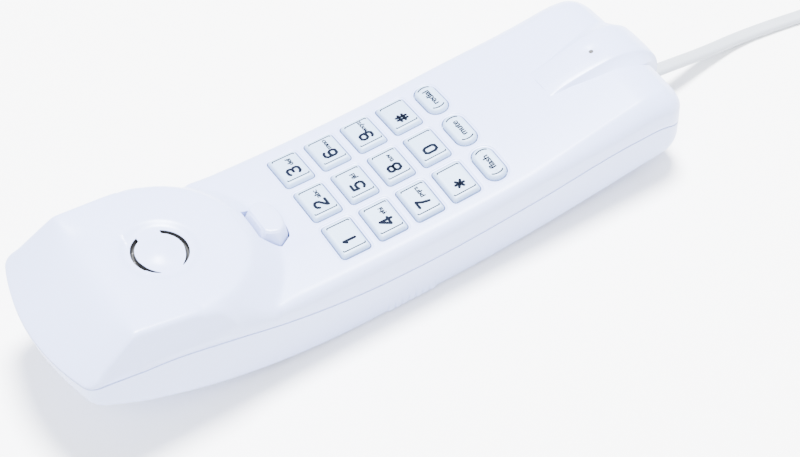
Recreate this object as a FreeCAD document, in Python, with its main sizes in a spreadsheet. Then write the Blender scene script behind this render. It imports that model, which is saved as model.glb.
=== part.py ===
import FreeCAD, Part
import Sketcher
import math
import os

# Slimline one-piece telephone: a handset with the keypad between the earpiece and the
# mouthpiece, on a flat line cord.
# Millimetres. +X is the side of keys 3, 6, 9 and #, +Y runs to the earpiece and +Z out of the keypad face.
# The origin is on the surface the phone lies on, under the middle of the handset.

Vector = FreeCAD.Vector
X_AXIS = Vector(1, 0, 0)
Z_AXIS = Vector(0, 0, 1)
doc = FreeCAD.newDocument("slimline_phone")

DIMENSIONS = [
    # handset form
    ("half_width", 29.2),
    ("back_half_width", 27.6),
    ("plateau_half_width", 26.2),
    ("mouth_end", -103.0),
    ("ear_end", 107.5),
    ("ear_end_radius", 72.0),
    ("mouth_corner", 8.0),
    ("ear_corner", 5.5),
    ("face_height", 29.2),
    ("face_centre", -5.5),
    ("face_radius", 625.0),
    ("crown_radius", 263.0),
    ("back_height", 0.5),
    ("back_flat_start", -8.0),
    ("back_flat_end", 12.0),
    ("back_mouth_radius", 625.0),
    ("back_ear_radius", 165.0),
    ("shoulder_radius", 3.5),
    ("back_edge_radius", 4.5),
    ("wall", 2.2),
    # earpiece
    ("ear_centre", 65.0),
    ("ear_height", 42.8),
    ("ear_slope", 0.18),
    ("ear_radius", 26.0),
    ("flank_width", 8.5),
    ("flank_height", 9.2),
    ("knee_radius", 53.2),
    ("knee_height", 46.9),
    ("end_rim_height", 35.8),
    ("slot_radius", 7.75),
    ("slot_width", 1.3),
    # nose over the mouthpiece
    ("nose_start", -66.5),
    ("nose_end", -107.5),
    ("nose_half_width", 7.5),
    ("nose_rise", 2.3),
    ("nose_foot", 18.6),
    ("mic_place", -85.7),
    ("mic_hole_radius", 0.65),
    # keys
    ("key_pitch_x", 16.0),
    ("key_pitch_y", 12.87),
    ("key_width", 13.0),
    ("key_depth", 9.5),
    ("key_corner", 1.0),
    ("oval_width", 13.0),
    ("oval_depth", 7.0),
    ("oval_corner", 3.3),
    ("key_gap", 0.35),
    ("key_rise", 1.0),
    ("key_flange", 0.8),
    ("flange_thickness", 1.0),
    ("top_row", 13.8),
    ("oval_row", -36.7),
    # hook lever
    ("pin_place", 47.0),
    ("pin_height", 31.5),
    ("pin_radius", 1.0),
    ("pin_length", 18.0),
    ("lever_clearance", 0.45),
    # board and mat
    ("board_half_width", 23.0),
    ("board_start", -74.0),
    ("board_end", 40.5),
    ("board_bottom", 19.0),
    ("board_thickness", 1.6),
    ("mat_thickness", 1.0),
    ("mat_half_width", 24.5),
    # receiver, microphone, ringer
    ("receiver_radius", 15.5),
    ("receiver_depth", 8.0),
    ("mic_radius", 4.85),
    ("mic_depth", 5.0),
    ("ringer_radius", 13.5),
    ("ringer_place", -25.0),
    # line jack, plugs and cord
    ("plug_height", 12.3),
    ("plug_width", 9.6),
    ("plug_thickness", 6.4),
    ("plug_length", 21.5),
    ("plug_gap", 0.12),
    ("cord_width", 4.8),
    ("cord_thickness", 2.6),
    ("coil_radius", 26.0),
    ("coil_height", 13.7),
    ("coil_band", 10.2),
    ("coil_x", -30.7),
    ("coil_y", -207.0),
    # screws
    ("screw_radius", 1.4),
    ("screw_head_radius", 2.7),
    ("screw_head_depth", 1.8),
    ("screw_seat", 13.0),
]

sheet = doc.addObject("Spreadsheet::Sheet", "Dims")
for row, (alias, value) in enumerate(DIMENSIONS, start=1):
    sheet.set(f"A{row}", alias)
    sheet.set(f"B{row}", str(value))
    sheet.setAlias(f"B{row}", alias)
doc.recompute()


def size(alias):
    return float(sheet.get(alias))


def bind(target, **expressions):
    for name, expression in expressions.items():
        target.setExpression(name, expression)


def plain_feature(name, shape, placement=None):
    feature = doc.addObject("Part::Feature", name)
    feature.Shape = shape
    if placement is not None:
        feature.Placement = placement
    return feature


def box(x0, x1, y0, y1, z0, z1):
    return Part.makeBox(x1 - x0, y1 - y0, z1 - z0, Vector(x0, y0, z0))


def cylinder(radius, x, y, z0, z1):
    return Part.makeCylinder(radius, z1 - z0, Vector(x, y, z0), Z_AXIS)


def line(a, b):
    return Part.LineSegment(a, b).toShape()


def arc(a, middle, b):
    return Part.Arc(a, middle, b).toShape()


def face_from(edges):
    return Part.Face(Part.Wire(Part.__sortEdges__(edges)))


def edges_where(shape, test):
    return [edge for edge in shape.Edges if test(edge)]


# ---------------------------------------------------------------- handset form
TOP = 60.0
SIDE = 45.0


def face_level(x, y):
    """Height of the keypad face: hollow along the handset, crowned across it."""
    along = (y - size("face_centre")) ** 2 / (2 * size("face_radius"))
    across = x**2 / (2 * size("crown_radius"))
    return size("face_height") + along - across


def back_level(y):
    """Height of the back: flat in the middle, curving up to both ends."""
    if y < size("back_flat_start"):
        radius, start = size("back_mouth_radius"), size("back_flat_start")
    elif y > size("back_flat_end"):
        radius, start = size("back_ear_radius"), size("back_flat_end")
    else:
        return size("back_height")
    return size("back_height") + radius - math.sqrt(radius**2 - (y - start) ** 2)


def plan_prism(inset):
    """Everything inside the outline seen from above."""
    side = size("half_width") - inset
    mouth = size("mouth_end") + inset
    corner = size("mouth_corner") - inset
    end = size("ear_end") - inset
    end_radius = size("ear_end_radius") - inset
    centre = end - end_radius
    bend = corner * (1 - math.sqrt(0.5))
    taper_start = 86.0
    tip = side - 1.4
    tip_y = centre + math.sqrt(end_radius**2 - tip**2)
    p = lambda x, y: Vector(x, y, -5)
    outline = []
    for sign in (-1, 1):
        outline.append(line(p(sign * side, mouth + corner), p(sign * side, taper_start)))
        outline.append(line(p(sign * side, taper_start), p(sign * tip, tip_y)))
        outline.append(
            arc(
                p(sign * side, mouth + corner),
                p(sign * (side - bend), mouth + bend),
                p(sign * (side - corner), mouth),
            )
        )
    outline.append(line(p(corner - side, mouth), p(side - corner, mouth)))
    outline.append(arc(p(-tip, tip_y), p(0, end), p(tip, tip_y)))
    prism = face_from(outline).extrude(Vector(0, 0, TOP + 5))
    tips = edges_where(
        prism,
        lambda e: abs(e.Vertexes[0].Z - e.Vertexes[-1].Z) > 10
        and abs(e.Vertexes[0].Y - tip_y) < 0.1,
    )
    return prism.makeFillet(size("ear_corner") - inset * 0.9, tips)


def cross_prism(inset, top_half_width):
    """Everything inside the outline seen along the handset: the back has draft, and so has the earpiece."""
    side, back = size("half_width") - inset, size("back_half_width") - inset
    lean = (size("half_width") - top_half_width) / 10.0
    half = [(back, -2), (side, 15)]
    if lean > 0:
        half.append((side, 34))
    half.append((side - lean * (TOP - 34), TOP))
    points = [Vector(x, -130, z) for x, z in half]
    points += [Vector(-x, -130, z) for x, z in reversed(half)]
    return Part.Face(Part.makePolygon(points + points[:1])).extrude(Vector(0, 260, 0))


def back_prism(inset):
    """Everything above the back."""
    level = size("back_height") + inset
    start, end = size("back_flat_start"), size("back_flat_end")
    p = lambda y, z: Vector(-SIDE, y, z)

    def rising(radius, origin, reach):
        def at(distance):
            z = level + radius - math.sqrt(radius**2 - distance**2)
            return p(origin + distance, z)

        return arc(at(0), at(reach / 2), at(reach)), at(reach)

    mouth_arc, mouth_tip = rising(size("back_mouth_radius") - inset, start, -110.0)
    ear_arc, ear_tip = rising(size("back_ear_radius") - inset, end, 104.0)
    edges = [mouth_arc, line(p(start, level), p(end, level)), ear_arc]
    edges.append(line(ear_tip, p(ear_tip.y, TOP)))
    edges.append(line(p(ear_tip.y, TOP), p(mouth_tip.y, TOP)))
    edges.append(line(p(mouth_tip.y, TOP), mouth_tip))
    return face_from(edges).extrude(Vector(2 * SIDE, 0, 0))


def face_block(inset):
    """Everything under the keypad face, made by turning its crowned section about a far axis."""
    centre, top = size("face_centre"), size("face_height") - inset
    radius = size("crown_radius") - inset
    drop = radius - math.sqrt(radius**2 - SIDE**2)
    p = lambda x, z: Vector(x, centre, z)
    section = [
        arc(p(-SIDE, top - drop), p(0, top), p(SIDE, top - drop)),
        line(p(SIDE, top - drop), p(SIDE, -20)),
        line(p(SIDE, -20), p(-SIDE, -20)),
        line(p(-SIDE, -20), p(-SIDE, top - drop)),
    ]
    axis = Vector(0, centre, size("face_height") + size("face_radius"))
    section_face = face_from(section)
    section_face.rotate(axis, X_AXIS, -10.5)
    return section_face.revolve(axis, X_AXIS, 17.5)


def ear_tool(inset):
    """The earpiece plateau: a sloping top with a round flank to the keypad and a conical far end."""
    centre, slope = size("ear_centre"), size("ear_slope")
    level = size("ear_height") - inset
    p = lambda y, z: Vector(-SIDE, y, z)
    top_line = lambda y: level + slope * (y - centre)
    side_points = [p(20, -5), p(20, top_line(20)), p(112, top_line(112)), p(112, -5)]
    below_top = Part.Face(Part.makePolygon(side_points + side_points[:1]))
    below_top = below_top.extrude(Vector(2 * SIDE, 0, 0))

    radius = size("ear_radius") - inset * 0.6
    drop = size("flank_height") + 24.0
    spread = size("flank_width") / size("flank_height")
    cone = Part.makeCone(
        radius + drop * spread, radius, drop, Vector(0, 0, -drop), Z_AXIS
    )
    cone.Placement = FreeCAD.Placement(
        Vector(0, centre, level), FreeCAD.Rotation(X_AXIS, math.degrees(math.atan(slope)))
    )
    round_front = cone.fuse(box(-SIDE, SIDE, centre, 112, -5, TOP))

    end_radius = size("ear_end_radius") - inset
    knee = size("knee_radius") - inset
    knee_z, rim_z = size("knee_height") - inset, size("end_rim_height") - inset
    rise = (knee_z - rim_z) / (end_radius - knee)
    apex = rim_z + rise * end_radius
    q = lambda r, z: Vector(r, 0, z)
    outline = [q(0, -5), q(end_radius, -5), q(end_radius, rim_z), q(0, apex)]
    far_end = Part.Face(Part.makePolygon(outline + outline[:1]))
    far_end = far_end.revolve(Vector(0, 0, 0), Z_AXIS, 360)
    far_end.translate(Vector(0, size("ear_end") - size("ear_end_radius"), 0))
    return below_top.common(round_front).common(far_end)


def nose_block(inset):
    """The raised nose over the microphone, ending in a rounded bulb over the cord."""
    start, end = size("nose_start") - inset, size("nose_end") + inset
    half = size("nose_half_width") - inset
    rise = size("nose_rise") - inset
    foot = size("nose_foot")
    back = size("mouth_end") + 4.0
    level = lambda y: face_level(0, y)
    p = lambda y, z: Vector(-half, y, z)
    crest = p(-78, level(-78) + rise)
    brow = p(end + 9.0, level(end + 9.0) + rise)
    brow_bend = p(end + 2.3, brow.z - 2.6)
    chin = p(end, brow.z - 9.0)
    edges = [
        arc(p(start, level(start) - inset), p(-71, level(-71) + rise * 0.72), crest),
        line(crest, brow),
        arc(brow, brow_bend, chin),
        line(chin, p(end, foot)),
        line(p(end, foot), p(back, foot)),
        line(p(back, foot), p(start, level(start) - 6 - inset)),
        line(p(start, level(start) - 6 - inset), p(start, level(start) - inset)),
    ]
    block = face_from(edges).extrude(Vector(2 * half, 0, 0))
    if inset > 0:
        return block
    upright = edges_where(
        block,
        lambda e: abs(e.Vertexes[0].Z - e.Vertexes[-1].Z) > 5
        and abs(e.Vertexes[0].Y - end) < 0.1
        and abs(e.Vertexes[-1].Y - end) < 0.1,
    )
    return block.makeFillet(4.0, upright)


def handset_form(inset, edge_radius=0.0):
    """The whole handset as one solid, drawn in by inset on every side."""
    outline = plan_prism(inset).common(back_prism(inset))
    outline = outline.common(cross_prism(inset, size("half_width")))
    if edge_radius > 0:
        back_edges = edges_where(
            outline,
            lambda e: all(abs(v.Z - back_level(v.Y) - inset) < 0.3 for v in e.Vertexes)
            and (abs(e.CenterOfMass.x) > 10 or abs(e.CenterOfMass.y) > 60),
        )
        outline = outline.makeFillet(edge_radius, back_edges)
    body = outline.common(box(-SIDE, SIDE, -130, size("ear_centre") + 1, -5, TOP))
    body = body.common(face_block(inset))
    if edge_radius > 0:
        shoulder = edges_where(
            body,
            lambda e: e.CenterOfMass.y < size("ear_centre")
            and all(abs(v.Z - face_level(v.X, v.Y) + inset) < 0.5 for v in e.Vertexes),
        )
        body = body.makeFillet(size("shoulder_radius"), shoulder)
    ear = outline.common(cross_prism(inset, size("plateau_half_width"))).common(ear_tool(inset))
    return body.fuse(ear).fuse(nose_block(inset)).removeSplitter()


def above_parting():
    """Everything above the curve where the two shells meet."""
    curve = Part.BSplineCurve()
    points = [(-115, 15.5), (-102.5, 18.6), (-94, 22.0), (-83, 22.4), (-45, 19.0)]
    points += [(-5, 17.2), (18, 18.5), (40, 22.4), (60, 28.0), (78, 32.7), (95, 34.6), (115, 35.3)]
    curve.interpolate([Vector(-SIDE, y, z) for y, z in points])
    first, last = points[0], points[-1]
    p = lambda y, z: Vector(-SIDE, y, z)
    edges = [curve.toShape(), line(p(*last), p(last[0], TOP)), line(p(last[0], TOP), p(first[0], TOP))]
    edges.append(line(p(first[0], TOP), p(*first)))
    return face_from(edges).extrude(Vector(2 * SIDE, 0, 0))


# ---------------------------------------------------------------- key layout
KEY_ROWS = [("1", "2", "3"), ("4", "5", "6"), ("7", "8", "9"), ("star", "0", "hash")]
OVAL_KEYS = ("flash", "mute", "redial")


def key_places():
    """Name, centre and kind of every key."""
    places = []
    for row, names in enumerate(KEY_ROWS):
        y = size("top_row") - row * size("key_pitch_y")
        for column, name in zip((-1, 0, 1), names):
            places.append((f"key_{name}", column * size("key_pitch_x"), y, "square"))
    for column, name in zip((-1, 0, 1), OVAL_KEYS):
        places.append((f"key_{name}", column * size("key_pitch_x"), size("oval_row"), "oval"))
    return places


def key_frame(x, y):
    """Placement of a key: its origin just under the face, its Z axis square to it."""
    lean_x = x / size("crown_radius")
    lean_y = -(y - size("face_centre")) / size("face_radius")
    normal = Vector(lean_x, lean_y, 1.0).normalize()
    place = Vector(x, y, face_level(x, y) - 0.05)
    return FreeCAD.Placement(place, FreeCAD.Rotation(Z_AXIS, normal))


def key_size(kind):
    if kind == "oval":
        return size("oval_width"), size("oval_depth"), size("oval_corner")
    return size("key_width"), size("key_depth"), size("key_corner")


def rounded_block(width, depth, corner, x, y, z0, z1):
    block = box(x - width / 2, x + width / 2, y - depth / 2, y + depth / 2, z0, z1)
    upright = edges_where(block, lambda e: abs(e.Vertexes[0].Z - e.Vertexes[-1].Z) > 0.1)
    return block.makeFillet(corner, upright)


def key_openings():
    cuts = []
    for name, x, y, kind in key_places():
        width, depth, corner = key_size(kind)
        gap = size("key_gap")
        cut = rounded_block(width + 2 * gap, depth + 2 * gap, corner + gap, 0, 0, -5, 3)
        cut.Placement = key_frame(x, y)
        cuts.append(cut)
    return cuts


# ---------------------------------------------------------------- hook lever outline
TAB_BACK = 36.1
TAB_HALF_BACK = 5.4
TAB_WIDE = 31.2
TAB_HALF_WIDE = 8.4
TAB_TIP = 26.6


def tab_outline(margin, z):
    """The D-shaped tab seen from above: a straight edge to the earpiece, pointed sides, a round tip."""
    p = lambda x, y: Vector(x, y, z)
    back, wide, tip = TAB_BACK + margin, TAB_WIDE, TAB_TIP - margin
    half_back, half_wide = TAB_HALF_BACK + margin, TAB_HALF_WIDE + margin
    shoulder = p(6.3 + margin * 0.7, 28.0 - margin * 0.7)
    left_shoulder = p(-shoulder.x, shoulder.y)
    edges = [
        line(p(-half_back, back), p(half_back, back)),
        line(p(half_back, back), p(half_wide, wide)),
        line(p(half_wide, wide), shoulder),
        arc(shoulder, p(0, tip), left_shoulder),
        line(left_shoulder, p(-half_wide, wide)),
        line(p(-half_wide, wide), p(-half_back, back)),
    ]
    return Part.Wire(Part.__sortEdges__(edges))


def ear_frame():
    """Placement of what lies under the earpiece plateau: its origin is the slot ring's centre."""
    tilt = math.degrees(math.atan(size("ear_slope")))
    place = Vector(0, size("ear_centre"), size("ear_height"))
    return FreeCAD.Placement(place, FreeCAD.Rotation(X_AXIS, tilt))


def ear_slots():
    """Two curved sound slots round a small dome, and the shallow dimple they lie in."""
    radius, half = size("slot_radius"), size("slot_width") / 2
    ring = Part.makeCylinder(radius + half, 12, Vector(0, 0, -10), Z_AXIS)
    ring = ring.cut(Part.makeCylinder(radius - half, 12, Vector(0, 0, -10), Z_AXIS))
    cuts = []
    for start, sweep in ((-62.0, 150.0), (108.0, 150.0)):
        corners = [Vector(0, 0, -11)]
        for step in range(7):
            angle = math.radians(start + sweep * step / 6)
            corners.append(Vector(20 * math.cos(angle), 20 * math.sin(angle), -11))
        wedge = Part.Face(Part.makePolygon(corners + corners[:1])).extrude(Vector(0, 0, 14))
        cuts.append(ring.common(wedge))
    dimple = Part.makeCone(9.0, 12.0, 0.8, Vector(0, 0, -0.8), Z_AXIS)
    dimple = dimple.cut(Part.makeCone(7.0, 4.5, 0.8, Vector(0, 0, -0.8), Z_AXIS))
    cuts.append(dimple)
    for cut in cuts:
        cut.Placement = ear_frame()
    return cuts


CASE_SCREWS = [(-20.0, -88.0), (20.0, -88.0), (-21.0, 46.0), (21.0, 46.0)]
BOARD_SCREWS = [(-20.0, -66.0), (20.0, -66.0), (-20.0, 24.5), (20.0, 24.5)]
RETAINER_SCREWS = (-18.6, 18.6)
HALVES = above_parting()
OUTER = handset_form(0, size("back_edge_radius"))
INNER = handset_form(size("wall"))


def upper_shell():
    shape = OUTER.cut(INNER).common(HALVES)
    hollow = INNER.common(HALVES)
    board_top = size("board_bottom") + size("board_thickness")
    posts = [cylinder(2.8, x, y, -5, TOP) for x, y in CASE_SCREWS]
    posts += [cylinder(2.4, x, y, board_top, TOP) for x, y in BOARD_SCREWS]
    for x in (-7.2, 7.2):
        posts.append(box(x - 1.0, x + 1.0, 44.0, 50.0, 28.5, TOP))
    for x in RETAINER_SCREWS:
        post = Part.makeCylinder(2.2, 20, Vector(x, 0, -11.6), Z_AXIS)
        post.Placement = ear_frame()
        posts.append(post)
    shape = shape.fuse([post.common(hollow) for post in posts])
    pilots = [cylinder(size("screw_radius") + 0.1, x, y, 5, 27) for x, y in CASE_SCREWS]
    pilots += [cylinder(0.95, x, y, 15, 26.0) for x, y in BOARD_SCREWS]
    for x in RETAINER_SCREWS:
        pilot = Part.makeCylinder(0.95, 9, Vector(x, 0, -12.5), Z_AXIS)
        pilot.Placement = ear_frame()
        pilots.append(pilot)
    bore = Part.makeCylinder(
        size("pin_radius") + 0.02,
        size("pin_length") - 1.4,
        Vector(0.7 - size("pin_length") / 2, size("pin_place"), size("pin_height")),
        X_AXIS,
    )
    tab = Part.Face(tab_outline(size("lever_clearance"), 24.0)).extrude(Vector(0, 0, 20))
    mic_hole = cylinder(size("mic_hole_radius"), 0, size("mic_place"), 26, TOP)
    shape = shape.cut(key_openings() + pilots + ear_slots() + [bore, tab, mic_hole])
    return shape.removeSplitter()


def grip_ribs():
    """Seven low ribs round the back at the balance point, where the fingers hold it."""
    pitch, thickness, first = 2.45, 1.5, -8.6
    rise = size("back_height")
    proud = cross_prism(-rise, size("half_width")).common(box(-SIDE, SIDE, -10, 8, 0, 12))
    long_edges = edges_where(proud, lambda e: all(v.Z < 0.01 for v in e.Vertexes) and e.Length < 20)
    proud = proud.makeFillet(size("back_edge_radius") + rise, long_edges)
    slabs = []
    for number in range(7):
        y = first + number * pitch
        slabs.append(box(-SIDE, SIDE, y, y + thickness, -1, 7.0))
    return [proud.common(slab) for slab in slabs]


def lower_shell():
    hollow = INNER.cut(HALVES)
    shape = OUTER.fuse(grip_ribs()).cut(INNER).cut(HALVES)
    bosses = [cylinder(4.6, x, y, -1, 30) for x, y in CASE_SCREWS]
    shape = shape.fuse([boss.common(hollow) for boss in bosses])
    ring = cylinder(size("ringer_radius") + 1.6, 0, size("ringer_place"), 1, 5.6)
    ring = ring.cut(cylinder(size("ringer_radius") + 0.25, 0, size("ringer_place"), 0, 6))
    shape = shape.fuse(ring.common(hollow))
    seat, head = size("screw_seat"), size("screw_head_radius") + 0.4
    cuts = [cylinder(size("screw_radius") + 0.3, x, y, -2, 40) for x, y in CASE_SCREWS]
    cuts += [cylinder(head, x, y, -2, seat) for x, y in CASE_SCREWS]
    height, half = size("plug_height"), size("plug_width") / 2 + 0.6
    cuts.append(box(-half, half, -115, size("mouth_end") + 8, height - 3.5, height + 4.4))
    return shape.cut(cuts).removeSplitter()


plain_feature("upper_shell", upper_shell())
plain_feature("lower_shell", lower_shell())


# ---------------------------------------------------------------- sketches and bodies
def origin_plane(body, role):
    return next(o for o in body.Origin.OriginFeatures if o.Role == role)


def rectangle_sketch(body, name, width, depth, plane="XY_Plane", offset=None):
    """A rectangle centred on the body's origin, its sides bound to two expressions."""
    sketch = body.newObject("Sketcher::SketchObject", name)
    sketch.AttachmentSupport = [(origin_plane(body, plane), "")]
    sketch.MapMode = "FlatFace"
    if offset is not None:
        sketch.setExpression("AttachmentOffset.Base.z", offset)
    corners = [Vector(-4, -3, 0), Vector(4, -3, 0), Vector(4, 3, 0), Vector(-4, 3, 0)]
    for first, second in zip(corners, corners[1:] + corners[:1]):
        sketch.addGeometry(Part.LineSegment(first, second))

    for index in range(4):
        sketch.addConstraint(Sketcher.Constraint("Coincident", index, 2, (index + 1) % 4, 1))
    for index, direction in enumerate(("Horizontal", "Vertical", "Horizontal", "Vertical")):
        sketch.addConstraint(Sketcher.Constraint(direction, index))
    sketch.addConstraint(Sketcher.Constraint("Symmetric", 0, 1, 1, 2, -1, 1))
    across = sketch.addConstraint(Sketcher.Constraint("DistanceX", 0, 1, 0, 2, 8.0))
    along = sketch.addConstraint(Sketcher.Constraint("DistanceY", 1, 1, 1, 2, 6.0))
    sketch.setExpression(f"Constraints[{across}]", width)
    sketch.setExpression(f"Constraints[{along}]", depth)
    return sketch


def pad(body, name, sketch, length):
    feature = body.newObject("PartDesign::Pad", name)
    feature.Profile = sketch
    feature.setExpression("Length", length)
    return feature


def fillet(body, name, base, radius, test):
    doc.recompute()
    chosen = [f"Edge{i}" for i, edge in enumerate(base.Shape.Edges, start=1) if test(edge)]
    feature = body.newObject("PartDesign::Fillet", name)
    feature.Base = (base, chosen)
    feature.setExpression("Radius", radius)
    return feature


def is_upright(edge):
    first, last = edge.Vertexes[0], edge.Vertexes[-1]
    slant = math.hypot(first.X - last.X, first.Y - last.Y)
    return abs(first.Z - last.Z) > 0.3 and slant < abs(first.Z - last.Z)


def key(name, x, y, kind):
    """A key cap: its origin is on the keypad face, the cap stands above and the flange lies under the shell."""
    prefix = "Dims.oval" if kind == "oval" else "Dims.key"
    body = doc.addObject("PartDesign::Body", name)
    flange = rectangle_sketch(
        body,
        f"{name}_flange_sketch",
        f"{prefix}_width + 2 * Dims.key_flange",
        f"{prefix}_depth + 2 * Dims.key_flange",
        offset="-(Dims.wall + 0.1 + Dims.flange_thickness)",
    )
    pad(body, f"{name}_flange", flange, "Dims.flange_thickness")
    stem = rectangle_sketch(
        body,
        f"{name}_stem_sketch",
        f"{prefix}_width",
        f"{prefix}_depth",
        offset="-(Dims.wall + 0.1)",
    )
    stem_pad = pad(body, f"{name}_stem", stem, "Dims.wall + 0.1 + Dims.key_rise")
    corner = fillet(
        body,
        f"{name}_corners",
        stem_pad,
        f"{prefix}_corner",
        lambda e: is_upright(e) and e.CenterOfMass.z > -size("wall"),
    )
    fillet(
        body,
        f"{name}_edge",
        corner,
        "0.45",
        lambda e: min(v.Z for v in e.Vertexes) > size("key_rise") - 0.01,
    )
    body.Placement = key_frame(x, y)
    return body


for key_name, key_x, key_y, key_kind in key_places():
    key(key_name, key_x, key_y, key_kind)


def circle_sketch(body, name, places, radius, offset=None):
    """Circles of one radius at fixed places on the body's XY plane."""

    sketch = body.newObject("Sketcher::SketchObject", name)
    sketch.AttachmentSupport = [(origin_plane(body, "XY_Plane"), "")]
    sketch.MapMode = "FlatFace"
    if offset is not None:
        sketch.setExpression("AttachmentOffset.Base.z", offset)
    for index, (x, y) in enumerate(places):
        sketch.addGeometry(Part.Circle(Vector(x, y, 0), Z_AXIS, 1.0))
        sketch.addConstraint(Sketcher.Constraint("DistanceX", -1, 1, index, 3, float(x)))
        sketch.addConstraint(Sketcher.Constraint("DistanceY", -1, 1, index, 3, float(y)))
        number = sketch.addConstraint(Sketcher.Constraint("Radius", index, 1.0))
        sketch.setExpression(f"Constraints[{number}]", radius)
    return sketch


# ---------------------------------------------------------------- main board
board = doc.addObject("PartDesign::Body", "main_board")
board_middle = (size("board_start") + size("board_end")) / 2
outline_sketch = rectangle_sketch(
    board, "board_outline", "2 * Dims.board_half_width", "Dims.board_end - Dims.board_start"
)
board_pad = pad(board, "board_plate", outline_sketch, "Dims.board_thickness")
fillet(board, "board_corners", board_pad, "2.0", is_upright)
hole_places = [(x, y - board_middle) for x, y in BOARD_SCREWS]
hole_sketch = circle_sketch(board, "board_hole_sketch", hole_places, "1.25")
holes = board.newObject("PartDesign::Pocket", "board_holes")
holes.Profile = hole_sketch
holes.Type = "ThroughAll"
holes.Midplane = True
board.Placement.Base = Vector(0, board_middle, size("board_bottom"))


# ---------------------------------------------------------------- key mat
BOARD_TOP = size("board_bottom") + size("board_thickness")
mat_start, mat_end = -42.5, 20.8


def key_mat():
    """The silicone mat: one dome with a contact post under each key."""
    half = size("mat_half_width") - 2.0
    base_top = BOARD_TOP + size("mat_thickness")
    shape = box(-half, half, mat_start, mat_end, BOARD_TOP, base_top)
    domes = []
    for name, x, y, kind in key_places():
        top = face_level(x, y) - 0.25 - size("wall") - 0.1 - size("flange_thickness")
        height = top - base_top
        width = 2.6 if kind == "oval" else 3.6
        domes.append(Part.makeCone(width, width - 1.0, height, Vector(x, y, base_top), Z_AXIS))
    return shape.fuse(domes).removeSplitter()


plain_feature("key_mat", key_mat())


# ---------------------------------------------------------------- hook lever, pin, spring and switch
def hook_lever():
    """The hook tab with its arm and barrel, moulded in one piece."""
    skirt = Part.Face(tab_outline(0, 27.0)).extrude(Vector(0, 0, 2.4))
    lower = tab_outline(0, 29.4)
    upper = tab_outline(-0.9, 34.2)
    tab = skirt.fuse(Part.makeLoft([lower, upper], True, True))
    above = [(20, 33.1), (45, 35.6), (45, 45), (20, 45), (20, 33.1)]
    slope = Part.Face(Part.makePolygon([Vector(-20, y, z) for y, z in above])).extrude(Vector(40, 0, 0))
    tab = tab.cut(slope)
    arm = box(-4.0, 4.0, 27.2, 49.0, 25.2, 27.2)
    riser = box(-4.0, 4.0, 45.0, 49.0, 25.2, size("pin_height"))
    start = Vector(-5.8, size("pin_place"), size("pin_height"))
    barrel = Part.makeCylinder(2.3, 11.6, start, X_AXIS)
    shape = tab.fuse([arm, riser, barrel])
    bore = Part.makeCylinder(size("pin_radius") + 0.05, 11.6, start, X_AXIS)
    return shape.cut(bore).removeSplitter()


plain_feature("hook_lever", hook_lever())

pin = doc.addObject("Part::Cylinder", "hook_pin")
bind(pin, Radius="Dims.pin_radius", Height="Dims.pin_length - 1.6")
pin.Placement = FreeCAD.Placement(
    Vector(0.8 - size("pin_length") / 2, size("pin_place"), size("pin_height")),
    FreeCAD.Rotation(Vector(0, 1, 0), 90),
)

SPRING_Y = 38.5


def hook_spring():
    """A small compression spring under the lever's arm, with closed ends as flat rings."""
    wire_radius, radius = 0.28, 1.9
    low, high = BOARD_TOP + wire_radius + 0.02, 25.2 - wire_radius - 0.02
    helix = Part.makeHelix((high - low) / 4.0, high - low, radius)
    section = Part.Wire(Part.makeCircle(wire_radius, Vector(radius, 0, 0), Vector(0, 1, 0)))
    coil = Part.Wire(helix.Edges).makePipeShell([section], True, True)
    coil.translate(Vector(0, SPRING_Y, low))
    return coil


plain_feature("hook_spring", hook_spring())

switch_body = doc.addObject("Part::Box", "hook_switch_body")
switch_body.Length, switch_body.Width, switch_body.Height = 6.4, 6.4, 1.6
switch_body.Placement.Base = Vector(-3.2, 28.2, BOARD_TOP)
switch_button = doc.addObject("Part::Cylinder", "hook_switch_button")
switch_button.Radius, switch_button.Height = 1.6, 2.1
switch_button.Placement.Base = Vector(0, 31.4, BOARD_TOP)
switch = doc.addObject("Part::Fuse", "hook_switch")
switch.Base, switch.Tool = switch_body, switch_button


# ---------------------------------------------------------------- receiver
def revolve_profile(points):
    face = Part.Face(Part.makePolygon([Vector(r, 0, z) for r, z in points + points[:1]]))
    return face.revolve(Vector(0, 0, 0), Z_AXIS, 360)


CAPSULE_TOP = -3.5
capsule_bottom = CAPSULE_TOP - size("receiver_depth")
receiver_edge = size("receiver_radius")
plain_feature(
    "receiver_capsule",
    revolve_profile(
        [
            (0, capsule_bottom),
            (10.5, capsule_bottom),
            (10.5, capsule_bottom + 3.2),
            (receiver_edge, capsule_bottom + 3.2),
            (receiver_edge, CAPSULE_TOP),
            (receiver_edge - 2.0, CAPSULE_TOP),
            (receiver_edge - 2.6, CAPSULE_TOP - 0.8),
            (0, CAPSULE_TOP - 0.4),
        ]
    ),
    ear_frame(),
)
plain_feature(
    "receiver_gasket",
    revolve_profile([(11.0, CAPSULE_TOP), (15.0, CAPSULE_TOP), (15.0, -2.3), (11.0, -2.3)]).cut(
        Part.makeCone(receiver_edge - 2.6, receiver_edge - 2.0, 0.8, Vector(0, 0, CAPSULE_TOP - 0.8))
    ),
    ear_frame(),
)


def receiver_retainer():
    """A strap across the back of the receiver, screwed to two posts of the upper shell."""
    low, high = capsule_bottom - 1.4, capsule_bottom - 0.1
    strap = box(-21.0, 21.0, -4.0, 4.0, low, high)
    for x in RETAINER_SCREWS:
        strap = strap.cut(cylinder(1.25, x, 0, low - 1, high + 1))
    return strap


plain_feature("receiver_retainer", receiver_retainer(), ear_frame())


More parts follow.
